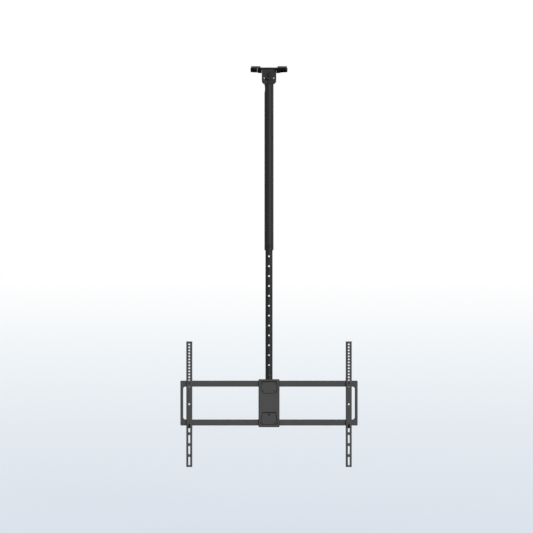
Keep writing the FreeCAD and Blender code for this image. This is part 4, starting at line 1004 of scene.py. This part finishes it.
class MOUNT_OT_foot_fasteners(bpy.types.Operator):
    """Bolts and nuts of the foot bracket and of the tilt"""

    bl_idname = "mount.foot_fasteners"
    bl_label = "Foot and tilt fasteners"

    def execute(self, context):
        replace_pair("cross_bolts", "cross_nuts", "X", "eight")
        replace_pair("tilt_pivot_bolt", "tilt_pivot_nut", "X", "ten")
        replace_pair("tilt_lock_bolt", "tilt_lock_nut", "X", "eight")
        return {"FINISHED"}


class MOUNT_OT_pan_screws(bpy.types.Operator):
    """Domed screws with hexagon sockets through the centre pan, and their nuts"""

    bl_idname = "mount.pan_screws"
    bl_label = "Pan screws"

    def execute(self, context):
        sizes = context.scene.mount_sizes
        radius, head = THREAD_RADII["six"], PAN_SCREW_HEAD
        shape = bmesh.new()
        for box in solids("pan_screws"):
            place, long = foot_of(box, "Y")
            outside = (box[1].x - box[0].x) / 2
            place.y += head
            absorb(shape, socket_head(outside, head, sizes.key_width), at("Y", place))
            absorb(shape, shank(radius, long - head, PAN_SCREW_THREAD, sizes.six_pitch), at("Y", place))
        stand_in("pan_screws", "_made", shape, "coated_screw")
        replace_nuts("pan_nuts", "Y", "six")
        return {"FINISHED"}


class MOUNT_OT_thumb_screws(bpy.types.Operator):
    """Grooved thumb screws under the arms"""

    bl_idname = "mount.thumb_screws"
    bl_label = "Thumb screws"

    def execute(self, context):
        grooves = context.scene.mount_sizes.knob_grooves
        radius, tall = THREAD_RADII["five"], KNOB_HEIGHT
        for node in ("thumb_screw_left", "thumb_screw_right"):
            shape = bmesh.new()
            for box in solids(node):
                place, long = foot_of(box, "Z")
                outside = (box[1].x - box[0].x) / 2
                absorb(shape, knob(outside, tall, grooves), at("Z", place))
                place.z += tall
                absorb(shape, shank(radius, long - tall, KNOB_THREAD, KNOB_PITCH), at("Z", place))
            stand_in(node, "_made", shape, "black_fastener")
        return {"FINISHED"}


class MOUNT_OT_cover_ribs(bpy.types.Operator):
    """Upright ribs moulded on one long side of each end cover"""

    bl_idname = "mount.cover_ribs"
    bl_label = "Cover ribs"

    def execute(self, context):
        sizes = context.scene.mount_sizes
        sink, proud, below_top = 0.0012, 0.0014, 0.0004
        inner, outer = COVER_EDGE - sink, COVER_EDGE + proud
        # The left rib stands on the front wall and the right one on the back wall
        for end, side, foot in (("left", -1, 0.074), ("right", 1, 0.012)):
            low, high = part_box("end_cover_" + end)
            wall = low.y if side < 0 else high.y
            top = Vector((side * sizes.rib_place, wall, high.z - below_top))
            underside = low.z + COVER_FOOT_AT_RIB
            corner = Vector((top.x, wall - side * COVER_EDGE, underside + COVER_EDGE))
            shape = hooked_rib(top, corner, sizes.rib_width / 2, inner, outer, foot, proud * 0.6)
            # The ribs' finish is a painted highlight
            finished("cover_rib_" + end, shape, "ceiling", "rib_highlight_plastic")
        return {"FINISHED"}


class MOUNT_OT_welds(bpy.types.Operator):
    """Weld beads under the swivel disc and behind the frame"""

    bl_idname = "mount.welds"
    bl_label = "Welds"

    def execute(self, context):
        radius = context.scene.mount_sizes.weld_width / 2
        low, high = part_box("yoke")
        shape = bmesh.new()
        for side in (low.x, high.x):
            ends = [(side, end, high.z) for end in (-DISC_WELD_HALF, DISC_WELD_HALF)]
            absorb(shape, bead(*ends, radius))
        finished("disc_welds", shape, "yoke", "head_weld")
        low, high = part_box("tilt_bracket")
        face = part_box("back_plate")[1].y
        # Three stitches on each side, measured in quarters of the bracket's height
        run = (high.z - low.z) / 4
        first, apart, long = 0.3, 1.25, 0.85
        shape = bmesh.new()
        for side in (low.x, high.x):
            for stitch in range(3):
                foot = low.z + run * (first + stitch * apart)
                absorb(shape, bead((side, face, foot), (side, face, foot + run * long), radius))
        finished("frame_welds", shape, "screen_frame", "frame_weld")
        return {"FINISHED"}


def less_given_back(parts, given_back):
    """A colour of 0 to 255 as light, less what the floor gives back of the lamps."""
    light = [((part / 255 + 0.055) / 1.055) ** 2.4 for part in parts]
    return tuple(max(0.0, value - given_back) for value in light)


class MOUNT_OT_stage(bpy.types.Operator):
    """Camera, floor, room light and lamps"""

    bl_idname = "mount.stage"
    bl_label = "Stage"

    def execute(self, context):
        stage = context.scene.mount_stage
        scene = context.scene
        scene.view_settings.view_transform = "Standard"
        camera = bpy.data.objects.new("camera", bpy.data.cameras.new("camera"))
        camera.location = (stage.camera_aside, -stage.camera_distance, stage.camera_level)
        camera.rotation_euler = (math.radians(90), 0, 0)
        camera.data.lens = stage.camera_lens
        camera.data.sensor_width = 36
        camera.data.clip_end = 400
        scene.collection.objects.link(camera)
        scene.camera = camera
        self.room(scene, stage)
        self.floor(scene, stage)
        self.lamps(scene, stage)
        return {"FINISHED"}

    @staticmethod
    def seen(finish):
        """1 for what the camera, a gloss or a clear piece sees."""
        path = finish.add("ShaderNodeLightPath")
        rays = ("Is Camera Ray", "Is Glossy Ray", "Is Transmission Ray")
        straight, glossy, clear = (finish.out(path, ray) for ray in rays)
        return (straight + glossy + clear) > 0.5

    def room(self, scene, stage):
        """White where it is seen, and an even light of the stage's strength on the object."""
        world = bpy.data.worlds.new("room")
        scene.world = world
        finish = Finish(world, "ShaderNodeBackground", "ShaderNodeOutputWorld")
        share = self.seen(finish)
        finish.set(Color=(1.0, 1.0, 1.0), Strength=share + (1 - share) * stage.room_light)

    def floor(self, scene, stage):
        """A pale floor that glows in its tones and takes shadows on its share of paint."""
        shape = bmesh.new()
        bmesh.ops.create_circle(
            shape, cap_ends=True, segments=96, radius=FLOOR_RADIUS,
            matrix=Matrix.Translation((0, 0, stage.floor_level)))
        mesh = bpy.data.meshes.new("floor")
        shape.to_mesh(mesh)
        shape.free()
        floor = bpy.data.objects.new("floor", mesh)
        scene.collection.objects.link(floor)
        finish = material("floor_paint")
        across, depth = finish.parts_of(finish.place())[:2]
        reach = (across * across + depth * depth) ** 0.5
        scale, nearest = FLOOR_FALL
        lit = stage.room_light
        lit += sum(power * math.sin(angle) / math.pi for _, power, _, angle, _ in self.suns(stage))
        tones = [(position, less_given_back(tone, FLOOR_SHARE * lit)) for position, tone in FLOOR_TONES]
        colour = finish.node("ShaderNodeValToRGB", {"stops": tones}, {0: scale / (reach + nearest)})
        glow = finish.mix(self.seen(finish), (0.0, 0.0, 0.0), colour)
        finish.set(
            Base_Color=(FLOOR_SHARE,) * 3,
            Roughness=1.0,
            Specular_IOR_Level=0.0,
            Emission_Color=glow,
            Emission_Strength=1.0)
        mesh.materials.append(finish.owner)

    @staticmethod
    def suns(stage):
        """Each lamp's name, power, angle aside from the front, height and spread."""
        return (
            ("front", stage.front_light, stage.front_aside, stage.front_height, math.radians(20)),
            ("side", stage.side_light, math.radians(72), math.radians(8), math.radians(40)),
            ("back", stage.back_light, math.radians(180), math.radians(28), math.radians(30)),
        )

    def lamps(self, scene, stage):
        """Sun lamps that shine from all round on the mount's middle."""
        middle, out = Vector((0, 0, -1)), 10
        for name, power, aside, height, spread in self.suns(stage):
            lamp = bpy.data.objects.new(name, bpy.data.lights.new(name, "SUN"))
            lamp.data.energy = power
            lamp.data.angle = spread
            level = math.cos(height)
            outward = Vector((level * math.sin(aside), -level * math.cos(aside), math.sin(height)))
            lamp.location = middle + out * outward
            lamp.rotation_euler = outward.to_track_quat("Z", "Y").to_euler()
            scene.collection.objects.link(lamp)


class MOUNT_PT_panel(bpy.types.Panel):
    """Lists the mount's operators"""

    bl_idname = "MOUNT_PT_panel"
    bl_label = "Ceiling mount"
    bl_space_type = "VIEW_3D"
    bl_region_type = "UI"
    bl_category = "Mount"

    def draw(self, context):
        for step in STEPS:
            self.layout.operator(step.bl_idname)
        for group in (context.scene.mount_sizes, context.scene.mount_colours, context.scene.mount_stage):
            box = self.layout.box()
            for name in group.__annotations__:
                box.prop(group, name)


STEPS = (
    MOUNT_OT_finishes,
    MOUNT_OT_soft_edges,
    MOUNT_OT_swivel_fasteners,
    MOUNT_OT_slope_fasteners,
    MOUNT_OT_height_fasteners,
    MOUNT_OT_foot_fasteners,
    MOUNT_OT_pan_screws,
    MOUNT_OT_thumb_screws,
    MOUNT_OT_cover_ribs,
    MOUNT_OT_welds,
    MOUNT_OT_stage,
)
GROUPS = {"mount_sizes": MountSizes, "mount_colours": MountColours, "mount_stage": MountStage}
CLASSES = (*GROUPS.values(), *STEPS, MOUNT_PT_panel)


def register():
    for kind in CLASSES:
        bpy.utils.register_class(kind)
    for name, group in GROUPS.items():
        setattr(bpy.types.Scene, name, PointerProperty(type=group))


def unregister():
    for name in GROUPS:
        delattr(bpy.types.Scene, name)
    for kind in reversed(CLASSES):
        bpy.utils.unregister_class(kind)


def main():
    register()
    for step in STEPS:
        group, name = step.bl_idname.split(".")
        getattr(getattr(bpy.ops, group), name)()


if __name__ == "__main__":
    main()
